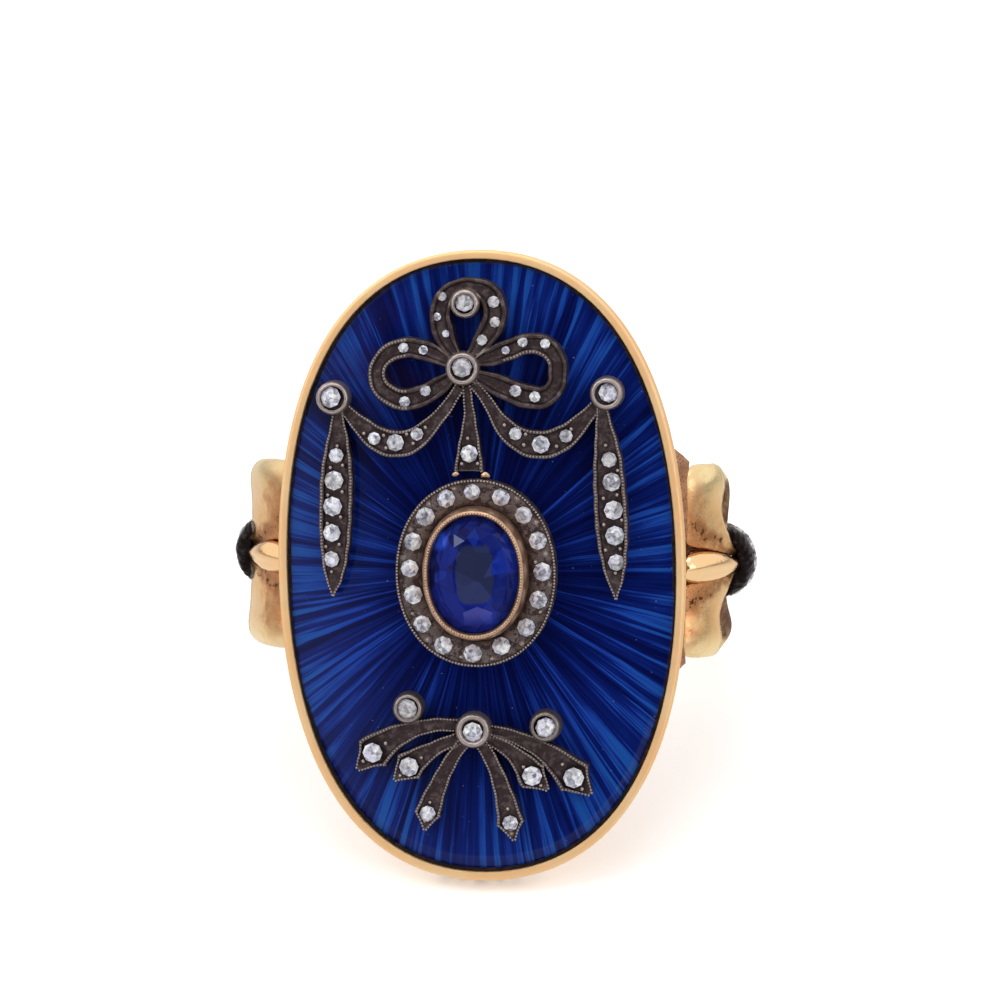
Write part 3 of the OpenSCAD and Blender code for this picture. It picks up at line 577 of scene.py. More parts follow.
def gold_finish(name, roughness=0.2, paleness=1.0):
    gold = [min(0.98, part * paleness) for part in colours("gold")]
    f = Finish(name, metallic=1.0)
    warm = f.blend(f.noise(0.35, 3).rise(0.3, 0.7), gold, (gold[0], gold[1] * 0.9, gold[2] * 0.82))
    # The dirt mask below is tarnish mixed with painted shade: ambient occlusion darkens the gold in hollows
    # and gaps, and also where the floor comes close.
    dirt_and_shade = ((1 - f.hollow(0.0006)) * 1.5 * f.noise(3, 4).rise(0.35, 0.65)).rise(0.25, 0.75)
    return f.made(f.blend(dirt_and_shade, warm, colours("tarnish")),
                  roughness + dirt_and_shade * 0.35 + f.noise(2, 4).rise(0.4, 0.8) * 0.1,
                  f.noise(1.3, 3) + f.noise(9, 2) * 0.25)


def rosy_gold_finish(name, lift=0.0):
    f = Finish(name, metallic=1.0)
    # The dirt mask below is tarnish mixed with painted shade: ambient occlusion darkens the gold in hollows
    # and where other surfaces come close.
    dirt_and_shade = ((1 - f.hollow(0.0004)) * 1.2 + f.noise(4, 4).rise(0.45, 0.7) * 0.35 - lift).rise(0.15, 1.0)
    rosy = f.blend(f.noise(1.5, 3).rise(0.35, 0.65), colours("gold", 0.72, 0.66, 0.76),
                   colours("gold", 0.86, 0.82, 1.0))
    return f.made(f.blend(dirt_and_shade, rosy, colours("tarnish")), 0.36 + dirt_and_shade * 0.2, f.noise(6, 3))


def rough_gold_finish(name):
    f = Finish(name, metallic=1.0)
    cloud = f.noise(1.2, 3).rise(0.35, 0.7)
    base = f.blend(cloud, colours("gold", 0.5, 0.34, 0.31), colours("gold", 0.82, 0.64, 0.66))
    pitted = f.blend(f.noise(9, 3).rise(0.5, 0.68), base, (0.09, 0.035, 0.02))
    return f.made(pitted, 0.5 + cloud * 0.15, f.noise(9, 3), 0.5, 0.0002)


def shoulder_finish():
    """Polished gold with an olive band along the loops and a highlight painted pale at their ends; tarnish
    mixed with painted shade darkens it towards the plate, below the fold, in the crease towards the knots, in
    hollows and inside the loops.
    """
    f = Finish("shoulder_gold", on_plate=False, metallic=1.0)
    along, aside = abs(f.y), abs(f.x)
    # ends marks the loops' far ends: a pale highlight is painted there below, and the darker tone is thinned
    # there.
    ends = along.rise(2.8, 4.4)
    plain = f.blend(f.noise(0.45, 3).rise(0.35, 0.65), colours("gold", 1.04, 0.99, 0.92),
                    colours("gold", 1.06, 0.92, 0.76))
    middle = abs(aside - 10.4 + f.noise(0.6, 2) * 0.4 - 0.2)
    band = (1 - middle.rise(0.05, 0.6)) * along.rise(1.6, 2.6) * (1 - along.rise(3.6, 4.3))
    olive = f.blend(band * 0.5, plain, colours("gold", 0.74, 0.68, 0.56))
    warm = f.blend(ends * 0.85, olive, (0.98, 0.78, 0.42))
    streak = f.noise(1.7, 4, 0.6)
    fold = along + (aside - 9.9) * 0.757
    below = 1 - (fold - 1.6).rise(-0.3, 0.4)
    # crease darkens the fold where the loops meet the leaf: painted shade mixed with tarnish.
    crease = (1 - abs(fold - 1.85).rise(0.05, 0.7)) * (1 - aside.rise(11.4, 12.2) * 0.5)
    # brown darkens the gold towards the plate and below the fold as painted shade, mixed with streaks of
    # tarnish.
    brown = ((1 - (aside + f.x.rise(-1, 1) * 0.7).rise(10.3, 11.7)) * 0.8 + streak.rise(0.35, 0.7) * 0.5
             + below * 0.5 + crease * 0.5 - 0.38).rise(0.0, 0.8)
    rosy = f.blend(brown * (0.9 - ends * 0.65), warm, colours("gold", 0.7, 0.42, 0.3))
    rusty = f.blend(crease * streak.rise(0.32, 0.6) * 0.7, rosy, (0.34, 0.15, 0.06))
    # The hollow, inside and lining masks paint shade: ambient occlusion darkens the gold in hollows and
    # inside the loops, and the rear sheet's inner face is darkened; with stains and specks of tarnish they
    # make the dirt mask.
    hollow = (1 - f.hollow(0.0009)).rise(0.3, 0.85)
    inside = (1 - f.hollow(0.003)).rise(0.5, 0.85)
    reach = (f.x * f.x + f.z * f.z) ** 0.5
    painted_lining_shade = (reach.rise(11.8, 12.0) * (1 - reach.rise(12.5, 12.7)) * (1 - along.rise(3.6, 4.2))
              * along.rise(1.0, 1.8))
    stain_and_shade = (hollow * 1.1 + crease * f.noise(3.0, 3, 0.55).rise(0.4, 0.68) * 0.9
             + f.noise(2.6, 5, 0.6).rise(0.4, 0.65) * 0.5 - 0.55).rise(0.0, 0.7)
    speck = f.noise(12, 2).rise(0.6, 0.68) * (1 - aside.rise(10.2, 10.9)) * f.noise(1.1, 2).rise(0.4, 0.55)
    dirt_and_shade = (stain_and_shade + speck * 0.8 * (1 - ends) + inside * 0.85
            + painted_lining_shade * (0.65 + streak.rise(0.3, 0.7) * 0.3)).rise(0.0, 1.0)
    return f.made(f.blend(dirt_and_shade, rusty, colours("tarnish")),
                  0.23 + dirt_and_shade * 0.3 + brown * 0.1 + f.noise(3, 4).rise(0.4, 0.8) * 0.1,
                  f.noise(1.3, 3) + f.noise(8, 3) * 0.15 - speck * 0.4, 0.2, 0.00015)


def enamel_finish():
    """Deep blue glass over rays that were cut round the halo."""
    f = Finish("blue_enamel", roughness=0.45, coat_weight=0.45, coat_roughness=0.03, coat_ior=1.4,
               specular_ior_level=0.0)
    heading, away = f.heading(*HALO_PLACE), f.away(*HALO_PLACE)

    def cuts(turns, sway):
        """Crisp rays, this many to a radian, each with a tone of its own."""
        number = math.floor(heading * turns + f.streaks(heading * (turns * 0.3), away * 0.25, 1) * sway)
        return f.node("ShaderNodeTexWhiteNoise", {"noise_dimensions": "1D"}, {"W": number}, out="Value")

    rays = (f.streaks(heading * 5, away * 0.06, 2) * 0.55 + f.streaks(heading * 15, away * 0.3, 2) * 0.5
            + cuts(27, 1.2) * 0.36 + cuts(52, 1.6) * 0.38 + cuts(110, 2.0) * 0.3 - 0.04)
    a, b = enamel_half()
    edge = ((f.x / a) * (f.x / a) + (f.y / b) * (f.y / b)) ** 0.5
    light = edge.rise(0.25, 1.0) * 0.32 - 0.2 + rays
    middle = f.blend(light.rise(0.66, 1.0), colours("enamel_deep"), (0.002, 0.0085, 0.1))
    bright = f.blend(light.rise(1.0, 1.36), middle, colours("enamel_ray"))
    teal = f.blend(light.rise(1.1, 1.5) * edge.rise(0.6, 1.0) * 0.8, bright, (0.008, 0.07, 0.26))
    tint = (1 - f.away(-4.0, 9.5).rise(0.5, 5.0)) * 0.45 * f.noise(0.5, 2).rise(0.3, 0.6)
    purple = f.blend(tint, teal, (0.014, 0.005, 0.035))
    return f.made(f.blend(f.noise(9, 0).rise(0.86, 0.89) * 0.4, purple, (0.3, 0.3, 0.35)))


# A near-black finish for the line that paints the shade in the gap round the enamel.
def gap_shade_finish():
    f = Finish("dark_cement", roughness=0.6, specular_ior_level=0.2)
    tone = f.blend(f.noise(3, 3).rise(0.4, 0.75), (0.004, 0.003, 0.003), (0.03, 0.014, 0.008))
    return f.made(tone, None, f.noise(6, 3), 0.4)


def silver_finish(name, lift=0.0, depth=1.0, polished=(), gathered=None, pitted=0.0):
    """Oxidised silver, paler where lifted or polished and along its edges, which is wear mixed with a painted
    sheen, creased where gathered and black in its pits.
    """
    f = Finish(name, metallic=0.85)
    # edge pales the silver along its rounded edges: wear there, mixed with a painted sheen.
    edge = (1 - f.hollow(0.00012, inside=True)).rise(0.1, 0.6)
    share = edge * 0.5 + f.noise(3, 4, 0.65).rise(0.35, 0.75) * 0.26 - 0.05 + lift
    relief = f.noise(4, 4)
    for x, y in polished:
        share = share + (1 - f.away(x, y).rise(0.8, 1.1)) * 0.6
    if gathered:
        heading, away = f.heading(*gathered), f.away(*gathered)
        crease = (1 - f.streaks(heading * 5, away * 0.3, 3).rise(0.38, 0.58)) * (1 - away.rise(1.3, 3.0))
        share = share * (1 - crease * 0.8)
        relief = relief - crease * 1.6
    pits = (1 - f.noise(2.6, 4, 0.7).rise(0.43, 0.55)) * pitted
    share = share * (1 - pits) * f.hollow(0.0005).rise(0.2, 0.9)
    black = colours("silver", 0.6 * depth, 0.55 * depth, 0.58 * depth)
    return f.made(f.blend(share, black, colours("worn_silver")), 0.5 - share * 0.2, relief - pits, 0.35)


def diamond_finish():
    f = Finish("diamond", roughness=0.1, coat_weight=0.7, coat_roughness=0.02)
    # The stone's tones are painted reflections: dark and pale facets, and broad pale and brownish patches,
    # stand for what the cut stone reflects.
    share = f.facets(4.3).rise(0.2, 0.8) * 0.6 + f.noise(6, 3, 0.6).rise(0.36, 0.66) * 0.4
    pale = f.blend(f.noise(2.3, 1).rise(0.4, 0.6), colours("diamond"), colours("diamond", 0.84, 0.82, 0.95))
    mottled_reflection = f.blend(f.noise(0.55, 1).rise(0.5, 0.66) * 0.6, pale, (0.5, 0.46, 0.42))
    return f.made(f.blend(share, (0.13, 0.13, 0.165), mottled_reflection))


def sapphire_finish():
    """Blue facets whose tones are painted reflections, lighter towards the right, with painted glints, a
    darker table painted as a reflection, and lit patches painted at its corner, its left side and its foot.
    """
    f = Finish("sapphire", roughness=0.08, coat_weight=0.12, coat_roughness=0.02, specular_ior_level=0.06)
    tone, glint = f.facets(0.95), f.facets(1.9)
    # body, royal and the table paint the facets' reflections, and lit paints the lit patches.
    body = f.blend(tone.rise(0.3, 0.75) * 0.65 + f.x.rise(-1.6, 1.8) * 0.35, (0.0025, 0.005, 0.055),
                   colours("sapphire"))
    royal = f.blend(glint.rise(0.6, 0.85) * 0.35, body, colours("sapphire", 2.2, 2.8, 1.7))
    x, y = (f.x + 0.06) / 0.92, (f.y + 0.2) / 1.5
    table = 1 - ((x * x * x * x + y * y * y * y) ** 0.25 + (glint - 0.5) * 0.16).rise(0.86, 1.0)
    navy = f.blend(tone.rise(0.3, 0.7), (0.016, 0.021, 0.053), (0.026, 0.033, 0.09))
    dark = f.blend(table * 0.92, royal, navy)
    lit = f.blend((1 - f.away(-1.75, 1.45).rise(0.25, 0.6)) * 0.85, dark, (0.02, 0.075, 0.62))
    slope = abs(f.y - 1.42) * 1.7 + f.x
    lit = f.blend((1 - slope.rise(-0.5, -0.46)) * (f.x + 1.02).rise(0, 0.05) * 0.8, lit, (0.13, 0.15, 0.27))
    sideways = abs(f.x - 0.05)
    roof = (-1.68 - sideways * 0.4 - f.y).rise(0, 0.04) * (0.9 - sideways + f.y * 0.1).rise(0, 0.05)
    return f.made(f.blend(roof * (f.y + 2.65).rise(0, 0.8) * 0.6, lit, (0.075, 0.075, 0.28)))


# Pieces

def ribbon_path(stations, sharp):
    curve = start(bpy.ops.curve.primitive_bezier_curve_add)
    curve.data.dimensions = "2D"
    curve.data.resolution_u = 12
    spline = curve.data.splines[0]
    spline.radius_interpolation = "LINEAR" if sharp else "CARDINAL"
    spline.bezier_points.add(len(stations) - 2)
    for point, (x, y, width) in zip(spline.bezier_points, stations):
        point.co = (x, y, 0)
        point.radius = width / 2
        point.handle_left_type = point.handle_right_type = "AUTO"
    return curve


def ribbon(stations, drop, sharp=False, rounded=False, beaded=lambda x, y: True):
    """One silver ribbon over the enamel, and the lines along its two raised edges for the milgrain."""
    half, edge_columns = ROUNDED_RIBBON if rounded else BEADED_RIBBON
    profile = half + [(-across, up) for across, up in reversed(half)]
    height, columns = mm("ribbon_height"), len(profile)
    strip = draped(swept(ribbon_path(stations, sharp), profile), height - drop)
    for vertex in strip.data.vertices:
        x, y = vertex.co.x, vertex.co.y
        vertex.co.z += 0.03 * math.sin(5.1 * x + 2.3 * y) * math.sin(3.7 * y - 1.9 * x)
        vertex.co.x += 0.012 * math.sin(6.3 * y + 1.1 * x)
        vertex.co.y += 0.012 * math.sin(5.7 * x + 0.7 * y)
    choose(strip)
    bpy.ops.object.duplicate()
    edges = shape(bpy.context.object, lambda: bpy.ops.mesh.delete(type="VERT"),
                  pick=lambda v: v.index % columns not in edge_columns or not beaded(v.co.x, v.co.y))
    down = {"value": (0, 0, 0.2 - height)}
    shape(sewn(strip), lambda: bpy.ops.mesh.extrude_region_move(TRANSFORM_OT_translate=down),
          lambda: bpy.ops.mesh.select_all(action="SELECT"),
          lambda: bpy.ops.mesh.normals_make_consistent(inside=False))
    return strip, edges


def arm_stations(from_place, pull, head, heading, size):
    """Stations of a spray arm: it widens along its bend to a kite head with a pointed tip."""
    (x0, y0), (x1, y1), (x2, y2) = from_place, pull, head
    out = []
    for t in [i / 6 for i in range(7)]:
        out.append(((1 - t) ** 2 * x0 + 2 * t * (1 - t) * x1 + t * t * x2,
                    (1 - t) ** 2 * y0 + 2 * t * (1 - t) * y1 + t * t * y2,
                    0.6 + (1.74 * size - 0.6) * t ** 2.4))
    way = Vector((math.cos(math.radians(heading)), math.sin(math.radians(heading))))
    for reach, width in ((0.12, 1.78), (1.16, 0.2)):
        place = Vector(head) + way * reach * size
        out.append((place.x, place.y, width * size))
    return out


def collet(x, y, outside, stone):
    """A round collet with a turned-over lip round its stone."""
    r, h, seat = outside / 2, mm("collet_height"), stone / 2
    piece = turned([(r + 0.03, 0.05), (r + 0.02, 0.4), (r, h - 0.24), (r - 0.04, h - 0.12),
                    (r - 0.1, h - 0.03), (r - 0.16, h), (r - 0.21, h - 0.02), (seat + 0.05, h - 0.12),
                    (seat, h - 0.3), (0.02, h - 0.5)], 20)
    for vertex in piece.data.vertices:
        turn = math.atan2(vertex.co.y, vertex.co.x)
        vertex.co.z += 0.02 * math.sin(3 * turn + 5 * x) * math.sin(2 * turn + y) * (vertex.co.z > 0.5)
    return moved(piece, x, y, dome(x, y))


def on_edge(across, along, q):
    """The place on one of a loop's edges, on a smooth curve through its stations."""
    spots = [Vector(spot) for spot in zip(across, along)]
    last = len(spots) - 1
    i = max(n for n in range(last) if LOOP_SHARES[n] <= q)
    step = LOOP_SHARES[i + 1] - LOOP_SHARES[i]
    u = (q - LOOP_SHARES[i]) / step
    slopes = []
    for n in (i, i + 1):
        low, high = max(0, n - 1), min(last, n + 1)
        slopes.append((spots[high] - spots[low]) / (LOOP_SHARES[high] - LOOP_SHARES[low]) * step)
    return (spots[i] * (2 * u ** 3 - 3 * u ** 2 + 1) + slopes[0] * (u ** 3 - 2 * u ** 2 + u)
            + spots[i + 1] * (3 * u ** 2 - 2 * u ** 3) + slopes[1] * (u ** 3 - u ** 2))


def bump(value, middle, width):
    """1 at the middle, with a smooth fall to both sides."""
    return math.exp(-((value - middle) / width) ** 2)


def arch(value):
    """Rises from 0 to 1 as a quarter of a circle does, and stays there."""
    return math.sqrt(1 - (1 - min(1, value)) ** 2)


def loop_place(side, end):
    def place(turn, t):
        """A point of a shoulder's ribbon loop: turn runs round the loop and t from the plate outwards."""
        q = (1 - math.cos(turn)) / 2
        front = smooth(-0.35, 0.35, math.sin(turn))
        near = on_edge(LOOP_NEAR, LOOP_ALONG_NEAR, q)
        far = (on_edge(LOOP_FAR[side], LOOP_ALONG_FAR, q) * front
               + on_edge(LOOP_BEHIND, LOOP_ALONG_FAR, q) * (1 - front))
        if side > 0 > end:
            far.x += 0.2 * (1 - front) * bump(q, 0.25, 0.3)
        spot = near.lerp(far, t)
        rounded = 0.8 * arch(q / 0.2) + 0.2 * arch(q / 0.5)
        half = LOOP_HALF * rounded * arch((1 - q) / 0.03) * (1 - 0.7 * smooth(0.25, 1, q))
        r = LOOP_RADIUS + 0.3 * smooth(0.3, 1, q) + math.copysign(half, math.sin(turn))
        away = math.hypot(spot.x - 12.2, spot.y)
        crease = math.sin(math.atan2(spot.y, 12.3 - spot.x) * 9)
        r += 0.05 * crease * bump(away, 0.9, 0.5) * front
        r += (0.03 * smooth(0.4, 1, t) - 0.09 * bump(q, 0.52, 0.22)) * front
        r -= (0.1 * (1 - t) ** 4 + 0.16 * abs(2 * t - 1) ** 2.5 * smooth(0.85, 0.3, q)) * front
        return Vector((spot.x, spot.y, math.sqrt(r ** 2 - spot.x ** 2)))
    return place


def mirrored(piece, side, end=1):
    """Turns a piece of the right upper shoulder into its twin on another side or end."""
    return sewn(applied(piece, scale=(side, end, 1)))


class RING_OT_tray(bpy.types.Operator):
    """Raises the oval gold tray with its narrow rim"""
    bl_idname = "ring.tray"
    bl_label = "Plate tray"

    def execute(self, context):
        rim, inset, depth = mm("rim_width"), 0.12, 1.4
        a, b = plate_half(inset)
        tray = moved(converted(oval(a, b, PLATE_POWER)), 0, 0, mm("rim_height") - depth)
        steps = [(-0.04, 0), (-0.1, 0.04), (-inset, 0.1), (-inset, 1.32), (-0.11, 1.34), (-0.03, 1.385),
                 (0.0, 1.395), (0.02, depth), (rim - 0.16, depth), (rim - 0.15, depth), (rim - inset, 1.37),
                 (rim - inset, 0.5)]
        terraced(tray, [((a - inwards) / a, (b - inwards) / b, height) for inwards, height in steps])
        finished(tray, "gold_tray", gold_finish("satin_gold", 0.56, 1.08), replaced="mount", soft=40)
        return {"FINISHED"}


class RING_OT_hoop(bpy.types.Operator):
    """Turns the crowned hoop and the band that widens under the plate"""
    bl_idname = "ring.hoop"
    bl_label = "Hoop and band"

    def execute(self, context):
        crown = [HOOP_HALF * math.sin(math.radians(turn)) for turn in range(-70, 90, 20)]
        section = [(9.7, -HOOP_HALF + 0.02), (10.62, -HOOP_HALF)]
        section += [(CROWN_CENTRE + math.sqrt(CROWN_RADIUS ** 2 - y ** 2), y) for y in crown]
        section += [(10.62, HOOP_HALF), (9.7, HOOP_HALF - 0.02), (9.1, 1.45), (FINGER_RADIUS, 1.2),
                    (FINGER_RADIUS, 0), (FINGER_RADIUS, -1.2), (9.1, -1.45)]
        hoop = drawn([(r, y, 0) for r, y in section], closed=True)
        shape(hoop, lambda: bpy.ops.mesh.spin(steps=120, angle=2 * math.pi, center=(0, 0, 0), axis=(0, 1, 0)))
        for vertex in hoop.data.vertices:
            if math.hypot(vertex.co.x, vertex.co.z) > 9.5:
                vertex.co.z += HOOP_RISE
            else:
                # Near its ends the hoop's inside dives under the band's
                dive = 1 + 0.014 * smooth(2.6, 4.8, vertex.co.z)
                vertex.co.x *= dive
                vertex.co.z *= dive
        shape(sewn(hoop), lambda: bpy.ops.mesh.bisect(plane_co=(0, 0, 5.2), plane_no=(0, 0, 1),
                                                      clear_outer=True, use_fill=True))
        finished(hoop, "gold_hoop", gold_finish("polished_gold"), on_plate=False, soft=40)

        def band_place(turn, t):
            angle = math.radians(-4 + 188 * t)
            widening = min(1, max(0, (9.5 * math.sin(angle) - 1) / 6.5))
            half_band = 1.5 + 2.45 * (1 - math.cos(math.pi * widening)) / 2
            r = 9.52 + 0.46 * max(-1, min(1, 1.5 * math.sin(turn)))
            y = half_band * max(-1, min(1, 1.06 * math.cos(turn)))
            return Vector((r * math.cos(angle), y, r * math.sin(angle)))
        band = sleeve(72, 24, band_place)
        finished(band, "gold_band", gold_finish("band_gold", 0.3), on_plate=False, soft=40)
        return {"FINISHED"}


class RING_OT_gallery(bpy.types.Operator):
    """Raises the gallery, a collar between the band and the plate"""
    bl_idname = "ring.gallery"
    bl_label = "Gallery"

    def execute(self, context):
        power = 9

        def outline(turn, z):
            low, high = next((pair for pair in zip(GALLERY, GALLERY[1:]) if z <= pair[1][0]), GALLERY[-2:])
            share = (z - low[0]) / (high[0] - low[0])
            a, b = [first + (second - first) * share for first, second in zip(low[1:], high[1:])]
            x, y = math.cos(turn), math.sin(turn)
            reach = ((abs(x) / a) ** power + (abs(y) / b) ** power) ** (-1 / power)
            return x * reach, y * reach

        def collar_place(turn, t):
            lowest, top = GALLERY[0][0], GALLERY[-1][0]
            foot = lowest
            for guess in range(4):
                foot = max(lowest, math.sqrt(9.9 ** 2 - outline(turn, foot)[0] ** 2))
            z = foot + (top - foot) * t
            x, y = outline(turn, z)
            return Vector((x * (1 - 0.05 * smooth(4.9, 4.3, abs(y))), y * (0.93 if y < 0 else 1), z))
        collar = sleeve(17, 144, collar_place)
        modify(collar, "SOLIDIFY", thickness=0.5, offset=-1)
        window = start(bpy.ops.mesh.primitive_cube_add, size=1, location=(0, 0, 9.4), scale=(24, 2.3, 3.0))
        applied(window)
        modify(collar, "BOOLEAN", object=window, operation="DIFFERENCE", solver="EXACT")
        bpy.data.objects.remove(window)
        finished(collar, "gallery_collar", rough_gold_finish("cast_gold"), on_plate=False, soft=40)
        return {"FINISHED"}


class RING_OT_shoulders(bpy.types.Operator):
    """Folds the ribbon loops of the shoulders and lays a leaf between them"""
    bl_idname = "ring.shoulders"
    bl_label = "Ribbon shoulders"

    def execute(self, context):
        finish, neck_finish = shoulder_finish(), rough_gold_finish("neck_gold")
        for side, name, bulge in ((1, "right", 0.65), (-1, "left", 0.9)):
            for end, end_name in ((1, "upper"), (-1, "lower")):
                loop = sleeve(19, 72, loop_place(side, end))
                modify(loop, "SOLIDIFY", thickness=SHEET, offset=-1)
                modify(loop, "BEVEL", width=0.08, segments=3, limit_method="ANGLE",
                       angle_limit=math.radians(50))
                mirrored(loop, side, end * LOOP_STRETCH[side, end])
                finished(loop, name + "_" + end_name + "_loop", finish, on_plate=False)
            rows = [(LEAF_HALF * math.sin(math.pi * t ** bulge) ** (bulge / 1.4), LEAF_LENGTH * t)
                    for t in LEAF_ROWS]
            leaf = turned([(0.01, 0)] + rows + [(0.01, LEAF_LENGTH)], 64)
            for vertex in leaf.data.vertices:
                vertex.co.x *= 0.9 - 0.2 * smooth(0.1, -0.35, vertex.co.y + 0.1 - 0.06 * vertex.co.z)
            applied(leaf, rotation_euler=(0, math.radians(LEAF_LEAN), 0), location=LEAF_PLACE)
            finished(mirrored(leaf, side), name + "_leaf", gold_finish(name + "_leaf_gold", 0.13, 1.15),
                     on_plate=False)
            neck = turned([(0.3, -1.7), (1.1, -1.65), (1.3, -1.45), (1.36, -0.5), (1.36, 0.5), (1.34, 1.2),
                           (1.2, 1.6), (0.8, 1.85), (0.02, 1.9)], 48)
            for vertex in neck.data.vertices:
                flute = 1 - 0.05 * (1 + math.cos(12 * math.atan2(vertex.co.y, vertex.co.x)))
                vertex.co.x *= flute
                vertex.co.y *= flute
            applied(neck, rotation_euler=(0, math.radians(KNOT_LEAN), 0), location=NECK_PLACE)
            finished(mirrored(neck, side), name + "_neck", neck_finish, on_plate=False)
        return {"FINISHED"}


class RING_OT_enamel(bpy.types.Operator):
    """Lays the domed enamel in the plate's pocket, with a dark line round it that paints the shade in the gap
    between the enamel and the rim
    """
    bl_idname = "ring.enamel"
    bl_label = "Blue enamel"

    def execute(self, context):
        a, b = enamel_half()
        piece = moved(converted(oval(a, b, PLATE_POWER)), 0, 0, ENAMEL_FOOT)
        shares = [1 - 0.005 * i for i in range(15)] + [0.9, 0.8, 0.7, 0.6, 0.5, 0.4, 0.3, 0.2, 0.1, 0.03]
        terraced(piece, [(share, share, dome(a * share, 0) - ENAMEL_FOOT) for share in shares])
        for vertex in piece.data.vertices:
            if vertex.co.z > ENAMEL_FOOT + 0.1:
                vertex.co.z = dome(vertex.co.x, vertex.co.y)
        finished(piece, "enamel", enamel_finish(), "enamel_plate", soft=50)
        # A dark line in the gap round the enamel, standing for the shade that falls there.
        course = oval(*plate_half(mm("rim_width") - 0.02), PLATE_POWER)
        line = sewn(swept(course, [(0, 0), (0, 0.5), (0.1, 0.46), (0.2, 0.5), (0.2, 0)], closed=True))
        moved(line, 0, 0, mm("rim_height") - 0.84)
        finished(line, "cement_line", gap_shade_finish())
        return {"FINISHED"}


def silver_group(name, piece, node, ribbons, rows, middle, polished, worn, places, sunk):
    """Finishes a group's ribbons, gathered at its middle collet, and sets collets, milgrain and grains."""
    strips, lines = zip(*ribbons)
    finish = silver_finish(name + "_silver", gathered=rows[middle][:2])
    finished(joined(strips), piece, finish, node, soft=50)
    finish = silver_finish(name + "_collets_silver", 0.25, polished=[row[:2] for row in rows[:polished]])
    finished(joined([collet(*row) for row in rows]), name + "_collets", finish, soft=50)
    beads(joined(lines), name + "_milgrain", silver_finish(name + "_milgrain_silver", worn))
    grains(places, name + "_grains", mm("ribbon_height") - sunk)


class RING_OT_garland(bpy.types.Operator):
    """Makes the silver bow, its swags, drops and collets"""
    bl_idname = "ring.garland"
    bl_label = "Bow garland"

    def execute(self, context):
        loops = ((TOP_LOOP, lambda x, y: False), (LEFT_LOOP, lambda x, y: x < -3.3),
                 (RIGHT_LOOP, lambda x, y: 1.4 < x < 3.6 and 9.6 < y < 10.3))
        ribbons = [ribbon(stations, 0.02 * layer, rounded=True, beaded=beaded)
                   for layer, (stations, beaded) in enumerate(loops)]
        hanging = (LEFT_SWAG, RIGHT_SWAG, CENTRE_RIBBON, LEFT_DROP, RIGHT_DROP)
        ribbons += [ribbon(stations, 0.02 * layer) for layer, stations in zip((3, 4, 5, 0, 1), hanging)]
        silver_group("garland", "garland", "bow_garland", ribbons, BOW_COLLETS, 1, 4, 0.2,
                     GARLAND_GRAINS, 0.1)
        for number, (x, y, size) in enumerate(SOLDER):
            lump = start(bpy.ops.mesh.primitive_ico_sphere_add, subdivisions=3, radius=size)
            for vertex in lump.data.vertices:
                swell = math.sin(9 * vertex.co.x / size + 2 * number) * math.sin(7 * vertex.co.y / size)
                vertex.co *= 1 + 0.2 * swell
                vertex.co.x *= 1.4
                vertex.co.z *= 0.7
            moved(lump, x, y, dome(x, y) + mm("ribbon_height"))
            name = "solder_" + str(number + 1)
            finished(lump, name, rosy_gold_finish(name.replace("_", "_gold_")), soft=180)
        return {"FINISHED"}


class RING_OT_spray(bpy.types.Operator):
    """Makes the silver spray with its six kite heads and three collets"""
    bl_idname = "ring.spray"
    bl_label = "Spray"

    def execute(self, context):
        ribbons = [ribbon(arm_stations(*arm), 0.07 * layer, sharp=True) for *arm, layer in ARMS]
        silver_group("spray", "spray_arms", "spray", ribbons, SPRAY_COLLETS, 0, 1, 0.15,
                     SPRAY_GRAINS, 0.15)
        return {"FINISHED"}


class RING_OT_halo(bpy.types.Operator):
    """Makes the silver halo and the sapphire's gold collet"""
    bl_idname = "ring.halo"
    bl_label = "Halo and sapphire collet"

    def execute(self, context):
        (x, y), base = HALO_PLACE, dome(0, 0) + 0.1
        h, t = mm("halo_height"), mm("bezel_height")

        def round_stone(half, profile=None, lift=0.0):
            """A profile swept round the sapphire, or the bare line on which beads are set."""
            line = oval(*half, HALO_POWER)
            piece = sewn(swept(line, profile, closed=True)) if profile else converted(line)
            return moved(piece, x, y, base + lift)

        halo = round_stone(HALO_HALF, [(0, 0), (0, h - 0.1), (0.03, h - 0.03), (0.12, h - 0.03),
                                       (0.18, h - 0.14), (0.4, h - 0.17), (0.75, h - 0.15), (1.05, h - 0.2),
                                       (1.34, h - 0.3), (1.34, 0)])
        finished(halo, "halo", silver_finish("halo_silver", 0.27, pitted=0.9), "halo_frame",
                 soft=40)
        beads(round_stone([side - 0.08 for side in HALO_HALF], lift=h), "halo_milgrain",
              silver_finish("halo_milgrain_silver", 0.35))
        grains(HALO_GRAINS, "halo_grains", h - 0.06, 0.13)
        bezel = round_stone(BEZEL_HALF, [(0, 0), (0.04, 0.9), (0.14, t - 0.2), (0.19, t - 0.06), (0.26, t),
                                         (0.33, t - 0.02), (0.4, t - 0.12), (0.45, t - 0.3), (0.46, t - 0.6),
                                         (1.0, 0.1)])
        finished(bezel, "sapphire_bezel", rosy_gold_finish("bezel_gold"), "sapphire_collet",
                 soft=45)
        beads(round_stone([side - 0.3 for side in BEZEL_HALF], lift=t), "bezel_milgrain",
              rosy_gold_finish("bezel_milgrain_gold", 0.4), 0.07, 0.14)
        return {"FINISHED"}


